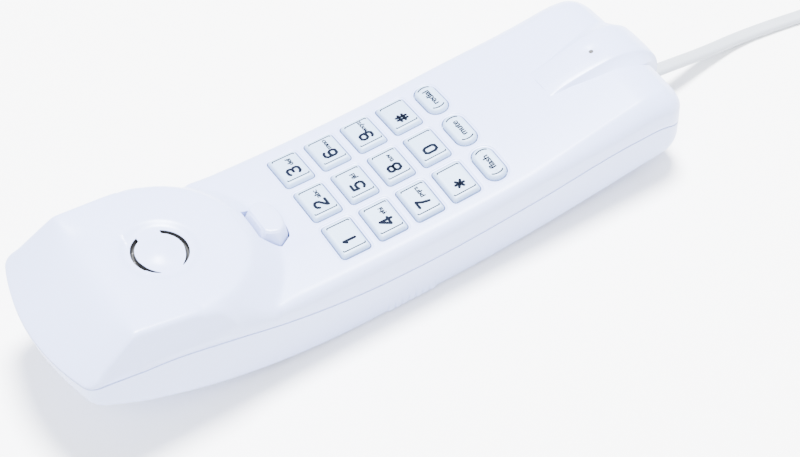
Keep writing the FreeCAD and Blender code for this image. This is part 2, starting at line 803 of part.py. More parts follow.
def pan_screw(x, y, seat, shank, shank_radius, head_radius, head_depth):
    """A pan-head screw with a cross slot, its head below the seat and its shank going up."""
    shape = cylinder(shank_radius, x, y, seat, seat + shank)
    shape = shape.fuse(cylinder(head_radius, x, y, seat - head_depth, seat))
    slot = head_radius * 0.65
    for reach_x, reach_y in ((slot, 0.3), (0.3, slot)):
        cross = box(x - reach_x, x + reach_x, y - reach_y, y + reach_y, seat - head_depth, seat)
        cross.translate(Vector(0, 0, -head_depth * 0.45))
        shape = shape.cut(cross)
    return shape


retainer_seat = capsule_bottom - 1.4
plain_feature(
    "receiver_screws",
    Part.makeCompound(
        [pan_screw(x, 0, retainer_seat, 7.0, 0.9, 1.9, 1.2) for x in RETAINER_SCREWS]
    ),
    ear_frame(),
)
plain_feature(
    "board_screws",
    Part.makeCompound(
        [pan_screw(x, y, size("board_bottom"), 6.0, 0.9, 1.9, 1.2) for x, y in BOARD_SCREWS]
    ),
)
plain_feature(
    "case_screws",
    Part.makeCompound(
        [
            pan_screw(
                x,
                y,
                size("screw_seat"),
                13.0,
                size("screw_radius"),
                size("screw_head_radius"),
                size("screw_head_depth"),
            )
            for x, y in CASE_SCREWS
        ]
    ),
)

# ---------------------------------------------------------------- microphone
MIC_TOP = 30.7
boot = doc.addObject("Part::Cylinder", "microphone_boot_outer")
bind(boot, Radius="Dims.mic_radius + 0.8", Height="Dims.mic_depth + 1.8")
boot.Placement.Base = Vector(0, size("mic_place"), MIC_TOP - size("mic_depth") - 1.0)
boot_room = doc.addObject("Part::Cylinder", "microphone_boot_room")
bind(boot_room, Radius="Dims.mic_radius + 0.02", Height="Dims.mic_depth + 1.0")
boot_room.Placement.Base = Vector(0, size("mic_place"), MIC_TOP - size("mic_depth") - 1.01)
boot_port = doc.addObject("Part::Cylinder", "microphone_boot_port")
bind(boot_port, Radius="Dims.mic_hole_radius + 0.4", Height="4")
boot_port.Placement.Base = Vector(0, size("mic_place"), MIC_TOP - 1.0)
boot_cut = doc.addObject("Part::Cut", "microphone_boot_cup")
boot_cut.Base, boot_cut.Tool = boot, boot_room
microphone_boot = doc.addObject("Part::Cut", "microphone_boot")
microphone_boot.Base, microphone_boot.Tool = boot_cut, boot_port
capsule = doc.addObject("Part::Cylinder", "microphone_capsule")
bind(capsule, Radius="Dims.mic_radius", Height="Dims.mic_depth")
capsule.Placement.Base = Vector(0, size("mic_place"), MIC_TOP - size("mic_depth") - 0.02)

# ---------------------------------------------------------------- ringer
ringer_disc = doc.addObject("Part::Cylinder", "ringer_plate")
bind(ringer_disc, Radius="Dims.ringer_radius", Height="0.6")
ringer_disc.Placement.Base = Vector(0, size("ringer_place"), 4.0)
ringer_crystal = doc.addObject("Part::Cylinder", "ringer_crystal")
bind(ringer_crystal, Radius="Dims.ringer_radius * 0.7", Height="0.9")
ringer_crystal.Placement.Base = Vector(0, size("ringer_place"), 4.0)
ringer = doc.addObject("Part::Fuse", "ringer_disc")
ringer.Base, ringer.Tool = ringer_disc, ringer_crystal


# ---------------------------------------------------------------- board components
def board_components():
    """What is soldered under and on the board: the dialling chip, capacitors and a bridge."""
    under = size("board_bottom")
    parts = [box(-7, 7, -16, -6, under - 2.6, under)]
    parts.append(box(8, 14, 2, 10, under - 2.2, under))
    parts += [cylinder(3.0, -14, y, under - 7.5, under) for y in (-52.0, -40.0)]
    parts.append(cylinder(2.5, 14, -48, under - 6.5, under))
    parts.append(box(-16, -9, 6, 9, under - 6.0, under))
    return Part.makeCompound(parts)


plain_feature("board_components", board_components())


# ---------------------------------------------------------------- line jack and plugs
PLUG_BACK = -101.5


def line_jack():
    """The modular jack that the line cord plugs into."""
    height = size("plug_height")
    half, thick = size("plug_width") / 2, size("plug_thickness") / 2
    shape = box(-half - 2.0, half + 2.0, -90.0, -76.0, 8.3, 18.4)
    return shape.cut(
        box(-half - 0.15, half + 0.15, -91.0, -79.3, height - thick - 0.15, height + thick + 0.15)
    )


def modular_plug():
    """A six-way modular plug along +Y from its cord end, with its latch underneath."""
    half, thick, length = size("plug_width") / 2, size("plug_thickness") / 2, size("plug_length")
    shape = box(-half, half, 0, length, -thick, thick)
    shape = shape.cut(box(-half + 1.6, half - 1.6, -1, 3.0, -thick - 1, -thick + 1.4))
    for number in range(6):
        x = (number - 2.5) * 1.02
        shape = shape.cut(box(x - 0.25, x + 0.25, length - 5.0, length + 1, thick - 1.0, thick + 1))
    return shape


def cord_plug_shape():
    cord = stadium_rod(size("cord_width") + 0.1, size("cord_thickness") + 0.1, 8.0)
    return modular_plug().cut(cord)


def stadium_rod(width, thickness, length):
    """A straight piece of flat cord along +Y."""
    flat = width / 2 - thickness / 2
    half = thickness / 2
    p = lambda x, z: Vector(x, 0, z)
    edges = [
        line(p(-flat, half), p(flat, half)),
        arc(p(flat, half), p(flat + half, 0), p(flat, -half)),
        line(p(flat, -half), p(-flat, -half)),
        arc(p(-flat, -half), p(-flat - half, 0), p(-flat, half)),
    ]
    return face_from(edges).extrude(Vector(0, length, 0))


plain_feature("line_jack", line_jack())
plain_feature(
    "cord_plug",
    cord_plug_shape(),
    FreeCAD.Placement(Vector(0, PLUG_BACK, size("plug_height")), FreeCAD.Rotation()),
)

# ---------------------------------------------------------------- line cord
# The cord leaves the handset under the nose, droops to the surface and runs to its coil.
CORD_ROUTE = [
    (0.0, PLUG_BACK + 8.0, 12.3),
    (0.0, -108.0, 12.3),
    (0.6, -121.0, 9.6),
    (2.7, -136.0, 4.6),
    (4.0, -151.0, 1.7),
    (2.3, -165.0, 1.45),
    (-0.2, -178.5, 1.45),
    (-5.6, -191.5, 1.45),
]
# From the coil the cord runs out to the plug for the wall socket.
TAIL_ROUTE = [
    (-30.7, -235.5, 4.1),
    (-40.5, -236.0, 3.2),
    (-50.0, -238.2, 3.2),
]


def cord_path(route):
    """Straight runs joined by tangent arcs, each as large as its two runs allow."""
    points = [Vector(*p) for p in route]
    edges, start, radii = [], points[0], []
    for before, corner, after in zip(points, points[1:], points[2:]):
        into, out = corner - before, after - corner
        shorter = min(into.Length, out.Length)
        into.normalize()
        out.normalize()
        turn = into.getAngle(out)
        reach = 0.45 * shorter
        radius = reach / math.tan(turn / 2)
        radii.append(round(radius, 1))
        first, last = corner - into * reach, corner + out * reach
        inward = out - into
        inward.normalize()
        centre = corner + inward * (radius / math.cos(turn / 2))
        middle = centre - inward * radius
        edges.append(line(start, first))
        edges.append(arc(first, middle, last))
        start = last
    edges.append(line(start, points[-1]))
    return Part.Wire(edges), radii


def flat_cord(route):
    """The flat cord along a route, kept level all the way."""
    path, radii = cord_path(route)
    width, thickness = size("cord_width"), size("cord_thickness")
    section = stadium_rod(width, thickness, 0.01).Faces
    end_face = min(section, key=lambda f: abs(f.CenterOfMass.y) + (f.Area < 5) * 9)
    area = end_face.Area
    direction = Vector(*route[1]) - Vector(*route[0])
    heading = math.degrees(math.atan2(-direction.x, direction.y))
    pitch = math.degrees(math.asin(direction.z / direction.Length))
    turn = FreeCAD.Rotation(Z_AXIS, heading).multiply(FreeCAD.Rotation(X_AXIS, pitch))
    profile = end_face.OuterWire.copy()
    profile.Placement = FreeCAD.Placement(Vector(*route[0]), turn)
    shell = Part.BRepOffsetAPI.MakePipeShell(path)
    shell.setBiNormalMode(Z_AXIS)
    shell.add(profile, False, False)
    shell.build()
    shell.makeSolid()
    tube = shell.shape()
    length = path.Length
    print("cord radii", radii, "length", round(length, 1), "volume", round(tube.Volume, 1))
    print("section times length", round(area * length, 1))
    return tube


def coil_ring():
    """The outer shape of the coiled cord: ten neat turns, two side by side and five high."""
    radius, band = size("coil_radius"), size("coil_band") / 2
    centre = Vector(size("coil_x"), size("coil_y"), 0.05)
    ring = Part.makeCylinder(radius + band, size("coil_height"), centre, Z_AXIS)
    return ring.cut(Part.makeCylinder(radius - band, size("coil_height"), centre, Z_AXIS))


coil = coil_ring()
plain_feature("line_cord_coil", coil)
cord = flat_cord(CORD_ROUTE).cut(coil)
tail = flat_cord(TAIL_ROUTE).cut(coil)
runs = [max(piece.Solids, key=lambda solid: solid.Volume) for piece in (cord, tail)]
plain_feature("line_cord", Part.makeCompound(runs))
tail_end = Vector(*TAIL_ROUTE[-1])
tail_run = (tail_end - Vector(*TAIL_ROUTE[-2])).normalize()
plain_feature(
    "wall_plug",
    modular_plug(),
    FreeCAD.Placement(
        tail_end + tail_run * size("plug_gap"),
        FreeCAD.Rotation(Z_AXIS, math.degrees(math.atan2(-tail_run.x, tail_run.y))),
    ),
)

# ---------------------------------------------------------------- export
doc.recompute()
SUB_PARTS = ["upper_shell", "lower_shell"]
SUB_PARTS += [place[0] for place in key_places()]
SUB_PARTS += ["main_board", "board_components", "key_mat", "hook_lever", "hook_pin"]
SUB_PARTS += ["hook_spring", "hook_switch", "receiver_capsule", "receiver_gasket"]
SUB_PARTS += ["receiver_retainer", "receiver_screws", "board_screws", "case_screws"]
SUB_PARTS += ["microphone_boot", "microphone_capsule", "ringer_disc", "line_jack"]
SUB_PARTS += ["cord_plug", "line_cord", "line_cord_coil", "wall_plug"]

problems = []
for item in doc.Objects:
    if "Invalid" in item.State or "Error" in item.State:
        problems.append(f"{item.Name}: {item.State}")
for name in SUB_PARTS:
    shape = doc.getObject(name).Shape
    if shape.isNull() or not shape.isValid() or not shape.Solids:
        problems.append(f"{name}: bad shape")
if problems:
    raise SystemExit("\n".join(problems))

os.makedirs("parts", exist_ok=True)
for name in SUB_PARTS:
    doc.getObject(name).Shape.exportStep(f"parts/{name}.step")
print(len(SUB_PARTS), "parts written")
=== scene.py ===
import math

import bmesh
import bpy
import numpy as np
from mathutils import Matrix, Vector


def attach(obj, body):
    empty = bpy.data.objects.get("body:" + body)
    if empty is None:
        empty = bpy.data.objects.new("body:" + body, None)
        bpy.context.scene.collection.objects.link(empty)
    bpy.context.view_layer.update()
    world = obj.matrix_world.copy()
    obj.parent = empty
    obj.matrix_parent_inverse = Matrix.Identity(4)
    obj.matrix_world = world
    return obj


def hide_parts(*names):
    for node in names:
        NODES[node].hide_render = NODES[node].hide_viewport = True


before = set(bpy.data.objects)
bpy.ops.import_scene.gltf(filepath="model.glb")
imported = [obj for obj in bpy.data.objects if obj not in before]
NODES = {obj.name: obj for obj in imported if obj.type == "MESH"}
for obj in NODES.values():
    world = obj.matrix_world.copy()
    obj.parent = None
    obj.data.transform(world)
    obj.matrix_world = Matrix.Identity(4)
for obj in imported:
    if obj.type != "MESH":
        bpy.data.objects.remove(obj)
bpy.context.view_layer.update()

MM = 0.001

# The keypad face: its middle, and how gently it curves along and across the handset.
FACE_Y, FACE_Z = -5.5, 29.2
FACE_ALONG, FACE_ACROSS = 1250.0, 526.0

# ---------------------------------------------------------------- camera
# The camera looks down on the handset from its left and from beyond the earpiece.
AZIMUTH, ELEVATION, ROLL = math.radians(-119.87), math.radians(50.36), math.radians(-3.31)
DISTANCE, SLIDE_RIGHT, SLIDE_UP = 570.15, 8.08, -16.07
KEYPAD_CENTRE = Vector((0.0, FACE_Y, FACE_Z))
back = Vector(
    (
        math.sin(AZIMUTH) * math.cos(ELEVATION),
        -math.cos(AZIMUTH) * math.cos(ELEVATION),
        math.sin(ELEVATION),
    )
)
level_right = Vector((math.cos(AZIMUTH), math.sin(AZIMUTH), 0.0))
level_up = back.cross(level_right)
right = level_right * math.cos(ROLL) + level_up * math.sin(ROLL)
up = level_up * math.cos(ROLL) - level_right * math.sin(ROLL)
eye = (KEYPAD_CENTRE + back * DISTANCE + right * SLIDE_RIGHT + up * SLIDE_UP) * MM
camera_data = bpy.data.cameras.new("camera")
camera_data.lens = 85.5
camera_data.sensor_width = 36.0
camera_data.clip_start = 0.01
camera = bpy.data.objects.new("camera", camera_data)
camera.matrix_world = Matrix.Translation(eye) @ Matrix((right, up, back)).transposed().to_4x4()
bpy.context.scene.collection.objects.link(camera)
bpy.context.scene.camera = camera


# ---------------------------------------------------------------- materials
def material(name, colour, roughness, bump=0.02, scale=900.0, spread=0.03, metallic=0.0, **extra):
    """A procedural material: fine noise varies its colour and roughness and lifts its surface."""
    mat = bpy.data.materials.new(name)
    mat.use_nodes = True
    tree = mat.node_tree
    shader = tree.nodes["Principled BSDF"]
    coords = tree.nodes.new("ShaderNodeTexCoord")
    broad = tree.nodes.new("ShaderNodeTexNoise")
    broad.inputs["Scale"].default_value = 35.0
    broad.inputs["Detail"].default_value = 3.0
    fine = tree.nodes.new("ShaderNodeTexNoise")
    fine.inputs["Scale"].default_value = scale
    fine.inputs["Detail"].default_value = 2.0
    tones = tree.nodes.new("ShaderNodeMix")
    tones.data_type = "RGBA"
    low = [max(0.0, c * (1.0 - spread)) for c in colour]
    high = [min(1.0, c * (1.0 + spread)) for c in colour]
    tones.inputs["A"].default_value = (*low, 1.0)
    tones.inputs["B"].default_value = (*high, 1.0)
    rough = tree.nodes.new("ShaderNodeMapRange")
    rough.inputs["To Min"].default_value = max(0.02, roughness - 0.05)
    rough.inputs["To Max"].default_value = roughness + 0.05
    relief = tree.nodes.new("ShaderNodeBump")
    relief.inputs["Strength"].default_value = bump
    relief.inputs["Distance"].default_value = 0.0002
    link = tree.links.new
    link(coords.outputs["Object"], broad.inputs["Vector"])
    link(coords.outputs["Object"], fine.inputs["Vector"])
    link(broad.outputs["Fac"], tones.inputs["Factor"])
    link(tones.outputs["Result"], shader.inputs["Base Color"])
    link(fine.outputs["Fac"], rough.inputs["Value"])
    link(rough.outputs["Result"], shader.inputs["Roughness"])
    link(fine.outputs["Fac"], relief.inputs["Height"])
    link(relief.outputs["Normal"], shader.inputs["Normal"])
    shader.inputs["Metallic"].default_value = metallic
    for socket, value in extra.items():
        shader.inputs[socket.replace("_", " ")].default_value = value
    return mat


SHELL = material("shell plastic", (0.44, 0.515, 0.81), 0.32, bump=0.03, spread=0.012)
KEYCAP = material("key plastic", (0.33, 0.45, 0.64), 0.42, bump=0.05, spread=0.015)
PRINT = material("key printing", (0.004, 0.006, 0.014), 0.85, Specular_IOR_Level=0.04)
CORD = material("cord sheath", (0.37, 0.40, 0.45), 0.45, bump=0.06, spread=0.02)
CLEAR = material("clear plastic", (0.86, 0.88, 0.90), 0.12, Transmission_Weight=0.75)
STEEL = material("zinc plate", (0.62, 0.63, 0.65), 0.28, metallic=1.0)
# Black for the dark mouldings, and also the painted shade in the earpiece slots and the microphone
# hole.
BLACK_AND_SHADE = material("black moulding and painted shade", (0.018, 0.018, 0.020), 0.45)
RUBBER = material("silicone", (0.34, 0.35, 0.37), 0.6)
BOARD = material("board lacquer", (0.03, 0.15, 0.07), 0.35)
BRASS = material("brass", (0.72, 0.55, 0.25), 0.3, metallic=1.0)
ALUMINIUM = material("aluminium can", (0.75, 0.76, 0.78), 0.35, metallic=1.0)
FLOOR = material("table top", (0.98, 0.98, 0.98), 0.75, spread=0.004)


def repaint(mat, *names):
    """Gives carried-over CAD nodes a material."""
    for name in names:
        mesh = NODES[name].data
        mesh.materials.clear()
        mesh.materials.append(mat)


# ---------------------------------------------------------------- mesh building
def link_object(name, mesh, mat):
    """Makes an object of a mesh and puts it in the scene."""
    mesh.materials.append(mat)
    obj = bpy.data.objects.new(name, mesh)
    bpy.context.scene.collection.objects.link(obj)
    return obj


class Skin:
    """Collects vertices and faces in millimetres; sharp edges come from separate vertices."""

    def __init__(self):
        self.points, self.faces = [], []

    def add(self, points):
        """Adds vertices and returns the index of the first."""
        start = len(self.points)
        self.points.extend([tuple(float(c) for c in p) for p in points])
        return start

    def grid(self, rows, flip=False, keep=None, loop=False):
        """Quads over an array of rows of points."""
        rows = np.asarray(rows, float)
        count, width = rows.shape[0], rows.shape[1]
        start = self.add(rows.reshape(-1, 3))
        span = width if loop else width - 1
        for i in range(count - 1):
            for j in range(span):
                if keep is not None and not keep(i, j):
                    continue
                k = (j + 1) % width
                quad = [start + i * width + j, start + i * width + k]
                quad += [start + (i + 1) * width + k, start + (i + 1) * width + j]
                self.faces.append(quad[::-1] if flip else quad)
        return start

    def cap(self, ring, flip=False):
        """One face over a ring of points."""
        start = self.add(ring)
        loop = list(range(start, start + len(ring)))
        self.faces.append(loop[::-1] if flip else loop)

    def build(self, name, mat, weld=0.0, smooth=True, sharp=None, transform=None):
        """The finished object: points within weld are joined, edges over sharp degrees stay hard."""
        mesh = bpy.data.meshes.new(name)
        points = np.array(self.points, float) * MM
        mesh.from_pydata(points.tolist(), [], self.faces)
        if transform is not None:
            mesh.transform(transform)
        if weld > 0:
            work = bmesh.new()
            work.from_mesh(mesh)
            bmesh.ops.remove_doubles(work, verts=work.verts, dist=weld * MM)
            work.to_mesh(mesh)
            work.free()
        if smooth:
            mesh.shade_smooth()
        if sharp is not None:
            mesh.set_sharp_from_angle(angle=math.radians(sharp))
        mesh.validate()
        mesh.update()
        return link_object(name, mesh, mat)


def rounded_outline(half_x, half_y, corner, count=96):
    """A rounded rectangle as an array of points, anticlockwise from its right side."""
    points = []
    per_corner = count // 4 - 1
    centres = [(1, 1, 0), (-1, 1, 90), (-1, -1, 180), (1, -1, 270)]
    for sign_x, sign_y, start in centres:
        cx, cy = sign_x * (half_x - corner), sign_y * (half_y - corner)
        for step in range(per_corner + 1):
            angle = math.radians(start + 90.0 * step / per_corner)
            points.append((cx + corner * math.cos(angle), cy + corner * math.sin(angle)))
    return np.array(points)


def reach_of(outline, centre):
    """How far an outline lies from a centre, as a function of direction."""
    offset = np.asarray(outline, float) - np.asarray(centre, float)
    closed = np.vstack([offset, offset[:1]])
    shares = np.linspace(0, 1, 9)[:-1]
    fine = np.array([a + (b - a) * t for a, b in zip(closed, closed[1:]) for t in shares])
    angle = np.arctan2(fine[:, 1], fine[:, 0])
    order = np.argsort(angle)
    angle, reach = angle[order], np.hypot(fine[:, 0], fine[:, 1])[order]
    angle = np.concatenate([angle - 2 * math.pi, angle, angle + 2 * math.pi])
    reach = np.tile(reach, 3)
    return lambda directions: np.interp(directions, angle, reach)


def smooth_step(value, start, end):
    """Eases from 0 at start to 1 at end."""
    t = np.clip((value - start) / (end - start), 0.0, 1.0)
    return t * t * (3 - 2 * t)


def soft_positive(value, rounding):
    """The positive part of a value, its corner rounded."""
    return 0.5 * (value + np.sqrt(value * value + rounding * rounding))


def soft_min(a, b, rounding):
    """The lesser of two values, rounded where they cross."""
    return 0.5 * (a + b - np.sqrt((a - b) ** 2 + rounding * rounding))


def curve_through(points):
    """A smooth curve z(y) through a few points."""
    y = np.array([p[0] for p in points], float)
    z = np.array([p[1] for p in points], float)
    slope = np.gradient(z, y)

    def at(value):
        value = np.asarray(value, float)
        i = np.clip(np.searchsorted(y, value) - 1, 0, len(y) - 2)
        span = y[i + 1] - y[i]
        t = np.clip((value - y[i]) / span, 0, 1)
        a = 2 * t**3 - 3 * t**2 + 1
        b = t**3 - 2 * t**2 + t
        c = t**3 - t**2
        return a * z[i] + b * span * slope[i] + (1 - a) * z[i + 1] + c * span * slope[i + 1]

    return at


# ---------------------------------------------------------------- handset form
HALF_WIDTH = 29.2
MOUTH_END, EAR_END = -103.0, 107.5
MOUTH_CORNER = 8.0
END_RADIUS = 72.0
END_CENTRE = EAR_END - END_RADIUS
EAR = (0.0, 65.0)
KNEE = 85.5
END_RIM = 35.5
TAPER_FROM, TIP_X = 86.0, 27.8
TIP_Y = END_CENTRE + math.sqrt(END_RADIUS**2 - TIP_X**2)

parting = curve_through(
    [(-115, 15.5), (-102.5, 18.6), (-94, 22.0), (-83, 22.4), (-45, 19.0), (-5, 17.2)]
    + [(18, 18.5), (40, 22.4), (60, 28.0), (78, 32.7), (95, 34.5), (115, 34.9)]
)


def face_height(x, y):
    """The keypad face: hollow along the handset, crowned across it."""
    return FACE_Z + (y - FACE_Y) ** 2 / FACE_ALONG - x**2 / FACE_ACROSS


def ear_height(y):
    """The earpiece plateau, rising gently to its end."""
    return 43.0 + 0.165 * (y - EAR[1])


def end_edge(x):
    """Where the round earpiece end of the outline lies."""
    return END_CENTRE + np.sqrt(np.maximum(END_RADIUS**2 - x**2, 1.0))


ROLL_START, ROLL_LENGTH, ROLL_DROP = -86.0, 17.5, 11.5


def top_height(x, y):
    """The whole upper surface: keypad face, earpiece plateau, its flank, end slope and dishes."""
    x, y = np.asarray(x, float), np.asarray(y, float)
    face = face_height(x, y)
    before, after = np.minimum(y - EAR[1], 0), np.maximum(y - EAR[1], 0)
    spread = np.hypot(x, before) - 0.8 * after
    ramp = (34.3 - spread) / 8.6
    lift = soft_positive(ramp, 0.05) - soft_positive(ramp - 1, 0.14)
    height = face + (ear_height(y) - face) * np.clip(lift, 0, 1.2) ** 1.12
    slope = (ear_height(KNEE) - END_RIM) / (end_edge(x) - KNEE)
    end_slope = END_RIM + slope * (end_edge(x) - y)
    rounding = 3.0 - 2.3 * smooth_step(np.abs(x), 14, 24)
    height = np.where(y > 72, soft_min(height, end_slope, rounding), height)
    away = np.hypot(x, y - EAR[1])
    height = height - 0.35 * (1 - smooth_step(away, 10, 19))
    height = height - 0.85 * (1 - smooth_step(away, 9.2, 12.2))
    height = height + 0.95 * (1 - smooth_step(away, 1.0, 6.6))
    over_end = np.clip((ROLL_START - y) / ROLL_LENGTH, 0, 0.9)
    height = height - ROLL_DROP * (1 - np.sqrt(1 - over_end**2))
    beside_tab = np.hypot(x, (y - 30.5) * 1.05)
    dish = 0.55 * (1 - smooth_step(beside_tab, 6.5, 13.5))
    return height - dish


BACK_LOW, BACK_RADIUS, BACK_ALONG = 0.5, 165.0, 1250.0


def back_height(y):
    """The back: flat in the middle, curving up to both ends."""
    y = np.asarray(y, float)
    ahead = np.maximum(y - 12.0, 0)
    behind = np.maximum(-8.0 - y, 0)
    bow = BACK_LOW + BACK_RADIUS - np.sqrt(BACK_RADIUS**2 - ahead**2)
    return bow + behind**2 / BACK_ALONG


RIB_PITCH, RIB_FIRST, RIBS = 2.45, -7.85, 7


def rib_height(y):
    """Seven half-round ribs at the balance point."""
    y = np.asarray(y, float)
    along = (y - RIB_FIRST) / RIB_PITCH
    closest = np.clip(np.round(along), 0, RIBS - 1)
    off = np.clip(np.abs(along - closest) * 2, 0, 1)
    return 0.48 * np.sqrt(1 - off**2)


def side_stations(rows):
    """Outline points and inward normals up the right side: mouth corner, side, taper, ear corner."""
    stations = []
    steps = 16
    for i in range(steps):
        angle = math.radians(90.0 * (1 - i / steps))
        normal = (-math.cos(angle), math.sin(angle))
        x = HALF_WIDTH - MOUTH_CORNER + MOUTH_CORNER * math.cos(angle)
        y = MOUTH_END + MOUTH_CORNER - MOUTH_CORNER * math.sin(angle)
        stations.append((x, y, *normal))
    corner_start = TIP_Y - 3.0
    for y in rows:
        if y < corner_start:
            share = max(0.0, (y - TAPER_FROM) / (TIP_Y - TAPER_FROM))
            stations.append((HALF_WIDTH - share * (HALF_WIDTH - TIP_X), y, -1.0, 0.0))
    share = (corner_start - TAPER_FROM) / (TIP_Y - TAPER_FROM)
    first = np.array([HALF_WIDTH - share * (HALF_WIDTH - TIP_X), corner_start])
    last_x = TIP_X - 2.9
    last = np.array([last_x, float(end_edge(last_x))])
    knob = np.array([TIP_X, TIP_Y])
    for i in range(11):
        t = i / 10.0
        point = first * (1 - t) ** 2 + knob * 2 * t * (1 - t) + last * t * t
        way = (knob - first) * (1 - t) + (last - knob) * t
        way = way / np.linalg.norm(way)
        stations.append((point[0], point[1], -way[1], way[0]))
    return np.array(stations)


def columns_for(half, core):
    """Column positions of a row: fixed in the middle, stretched near the sides."""
    fixed, limit = 24.0, 24.6
    edge = np.linspace(0, 1, 4)[1:]
    if half >= limit:
        outer = fixed + (half - fixed) * edge
        side = np.concatenate([core, outer])
    else:
        side = np.concatenate([core, fixed + (limit - fixed) * edge]) * (half / limit)
    return np.concatenate([-side[:0:-1], side])


def lay_out(rows, depth, core, bow_from=70.0):
    """Places the grid of a shell surface and the outline stations around it.

    depth(x, y) is how far the edge rounding reaches in from the outline."""
    side = side_stations(rows)
    reach = depth(side[:, 0], side[:, 1])
    inner = side[:, :2] + side[:, 2:] * reach[:, None]
    drawn_in = END_RADIUS - reach[-1]

    def end_arc(v):
        """The outline's round end, drawn in by the edge rounding."""
        return END_CENTRE + np.sqrt(drawn_in**2 - v**2)

    grid = []
    for half, y_side in inner:
        x = columns_for(half, core)
        bow = smooth_step(y_side, bow_from, inner[-1][1])
        y = y_side + bow * (end_arc(x) - end_arc(half))
        grid.append(np.stack([x, y], axis=1))
    grid = np.array(grid)
    return side, grid


def edge_loop(side, grid):
    """The closed loop of outline stations and the grid points they belong to.

    It runs anticlockwise from the mouth end."""
    outline, normals, inner = [], [], []
    for j in range(1, grid.shape[1] - 1):
        x = grid[0, j, 0]
        outline.append((x, MOUTH_END))
        normals.append((0.0, 1.0))
        inner.append(grid[0, j])
    for i in range(len(side)):
        outline.append(side[i, :2])
        normals.append(side[i, 2:])
        inner.append(grid[i, -1])
    for j in range(grid.shape[1] - 2, 0, -1):
        point = grid[-1, j]
        out = point - np.array([0.0, END_CENTRE])
        out = out / np.linalg.norm(out)
        outline.append(np.array([0.0, END_CENTRE]) + out * END_RADIUS)
        normals.append(-out)
        inner.append(point)
    for i in range(len(side) - 1, -1, -1):
        outline.append((-side[i, 0], side[i, 1]))
        normals.append((-side[i, 2], side[i, 3]))
        inner.append(grid[i, 0])
    return np.array(outline, float), np.array(normals, float), np.array(inner, float)


def bend(wall, knee, inner, steps):
    """A rounded corner from the wall to the surface, for every station at once."""
    rings = []
    for t in np.linspace(0, 1, steps):
        rings.append(wall * (1 - t) ** 2 + knee * 2 * t * (1 - t) + inner * t * t)
    return rings


def place(outline, normals, depth_height):
    """Rings given as (depth inward, height) pairs, placed round the outline."""
    depth, height = depth_height[:, 0], depth_height[:, 1]
    points = outline + normals * depth[:, None]
    return np.column_stack([points, height])


# ---------------------------------------------------------------- keys and openings
KEY_PITCH_X, KEY_PITCH_Y, TOP_ROW, OVAL_ROW = 16.0, 12.87, 13.8, -36.7
KEY_GRID = [("1", "2", "3"), ("4", "5", "6"), ("7", "8", "9"), ("star", "0", "hash")]
KEYS = []
for row, names in enumerate(KEY_GRID):
    for column, name in zip((-1, 0, 1), names):
        KEYS.append((name, column * KEY_PITCH_X, TOP_ROW - row * KEY_PITCH_Y, False))
for column, name in zip((-1, 0, 1), ("flash", "mute", "redial")):
    KEYS.append((name, column * KEY_PITCH_X, OVAL_ROW, True))


def key_matrix(x, y):
    """A key's place on the face, its Z axis square to it, in metres."""
    tilt = Vector((x / (FACE_ACROSS / 2), -(y - FACE_Y) / (FACE_ALONG / 2), 1.0))
    normal = tilt.normalized()
    turn = Vector((0, 0, 1)).rotation_difference(normal)
    height = float(face_height(x, y)) - 0.05
    return Matrix.Translation(Vector((x, y, height)) * MM) @ turn.to_matrix().to_4x4()


TAB_CENTRE = (0.0, 31.4)


def tab_outline(margin):
    """The hook tab seen from above: straight towards the earpiece, pointed sides, round tip."""
    corners = [(5.4, 36.1), (8.4, 31.2)]
    tip = [(6.3 * math.cos(a), 28.0 - 1.4 * math.sin(a)) for a in np.linspace(0, math.pi, 15)]
    points = corners + tip + [(-x, y) for x, y in corners[::-1]]
    points = np.array(points[::-1])
    centre = np.array(TAB_CENTRE)
    away = points - centre
    length = np.linalg.norm(away, axis=1, keepdims=True)
    return centre + away * (length + margin) / length


def upper_rows():
    """Rows of the upper surface, with a row on every edge of a cell."""
    marks = [(-95.0, 0), (-42.2, 96), (-31.235, 22)]
    marks += [(-18.365, 26), (-5.495, 26), (7.375, 26), (20.235, 26)]
    marks += [(40.0, 40), (49.0, 18), (81.0, 64), (104.0, 46)]
    rows = [marks[0][0]]
    for end, count in marks[1:]:
        rows += list(np.linspace(rows[-1], end, count + 1)[1:])
    return rows


def side_lean(y):
    """How much the side wall leans in above the pivot, beside the earpiece."""
    return 0.3 * smooth_step(y, 38, 54) * (1 - smooth_step(y, 97, 101.5))


def edge_depth(x, y):
    """How far the shoulder rounding reaches in from the outline."""
    beside_keys = 3.7 + 2.0 * smooth_step(-y, 45, 95)
    beside_ear = 1.6 + side_lean(y) * np.maximum(top_height(24.0, y) - LEAN_PIVOT, 0)
    share = smooth_step(y, 34, 50)
    return beside_keys * (1 - share) + beside_ear * share


LEAN_PIVOT = 34.0
UPPER_CORE = np.linspace(0, 24, 49)
upper_side, upper_grid = lay_out(upper_rows(), edge_depth, UPPER_CORE)
row_y = upper_grid[:, upper_grid.shape[1] // 2, 1]
column_x = columns_for(25.6, UPPER_CORE)


def nearest(values, target):
    """Index of the value closest to a target."""
    return int(np.argmin(np.abs(values - target)))


def cell(x0, x1, y0, y1):
    """Index range of a rectangle of the grid."""
    return nearest(row_y, y0), nearest(row_y, y1), nearest(column_x, x0), nearest(column_x, x1)


cells = []
for _, x, y, oval in KEYS:
    low, high = (-42.2, -31.235) if oval else (y - KEY_PITCH_Y / 2, y + KEY_PITCH_Y / 2)
    cells.append((cell(x - 8, x + 8, low, high), "oval" if oval else "key", (x, y)))
cells.append((cell(-12, 12, 20.235, 40.0), "tab", TAB_CENTRE))
cells.append((cell(-16, 16, 49.0, 81.0), "ear", EAR))

upper = Skin()
covered = set()
for (i0, i1, j0, j1), *_ in cells:
    covered.update((i, j) for i in range(i0, i1) for j in range(j0, j1))
top = np.dstack([upper_grid, top_height(upper_grid[:, :, 0], upper_grid[:, :, 1])])
upper.grid(top, keep=lambda i, j: (i, j) not in covered)


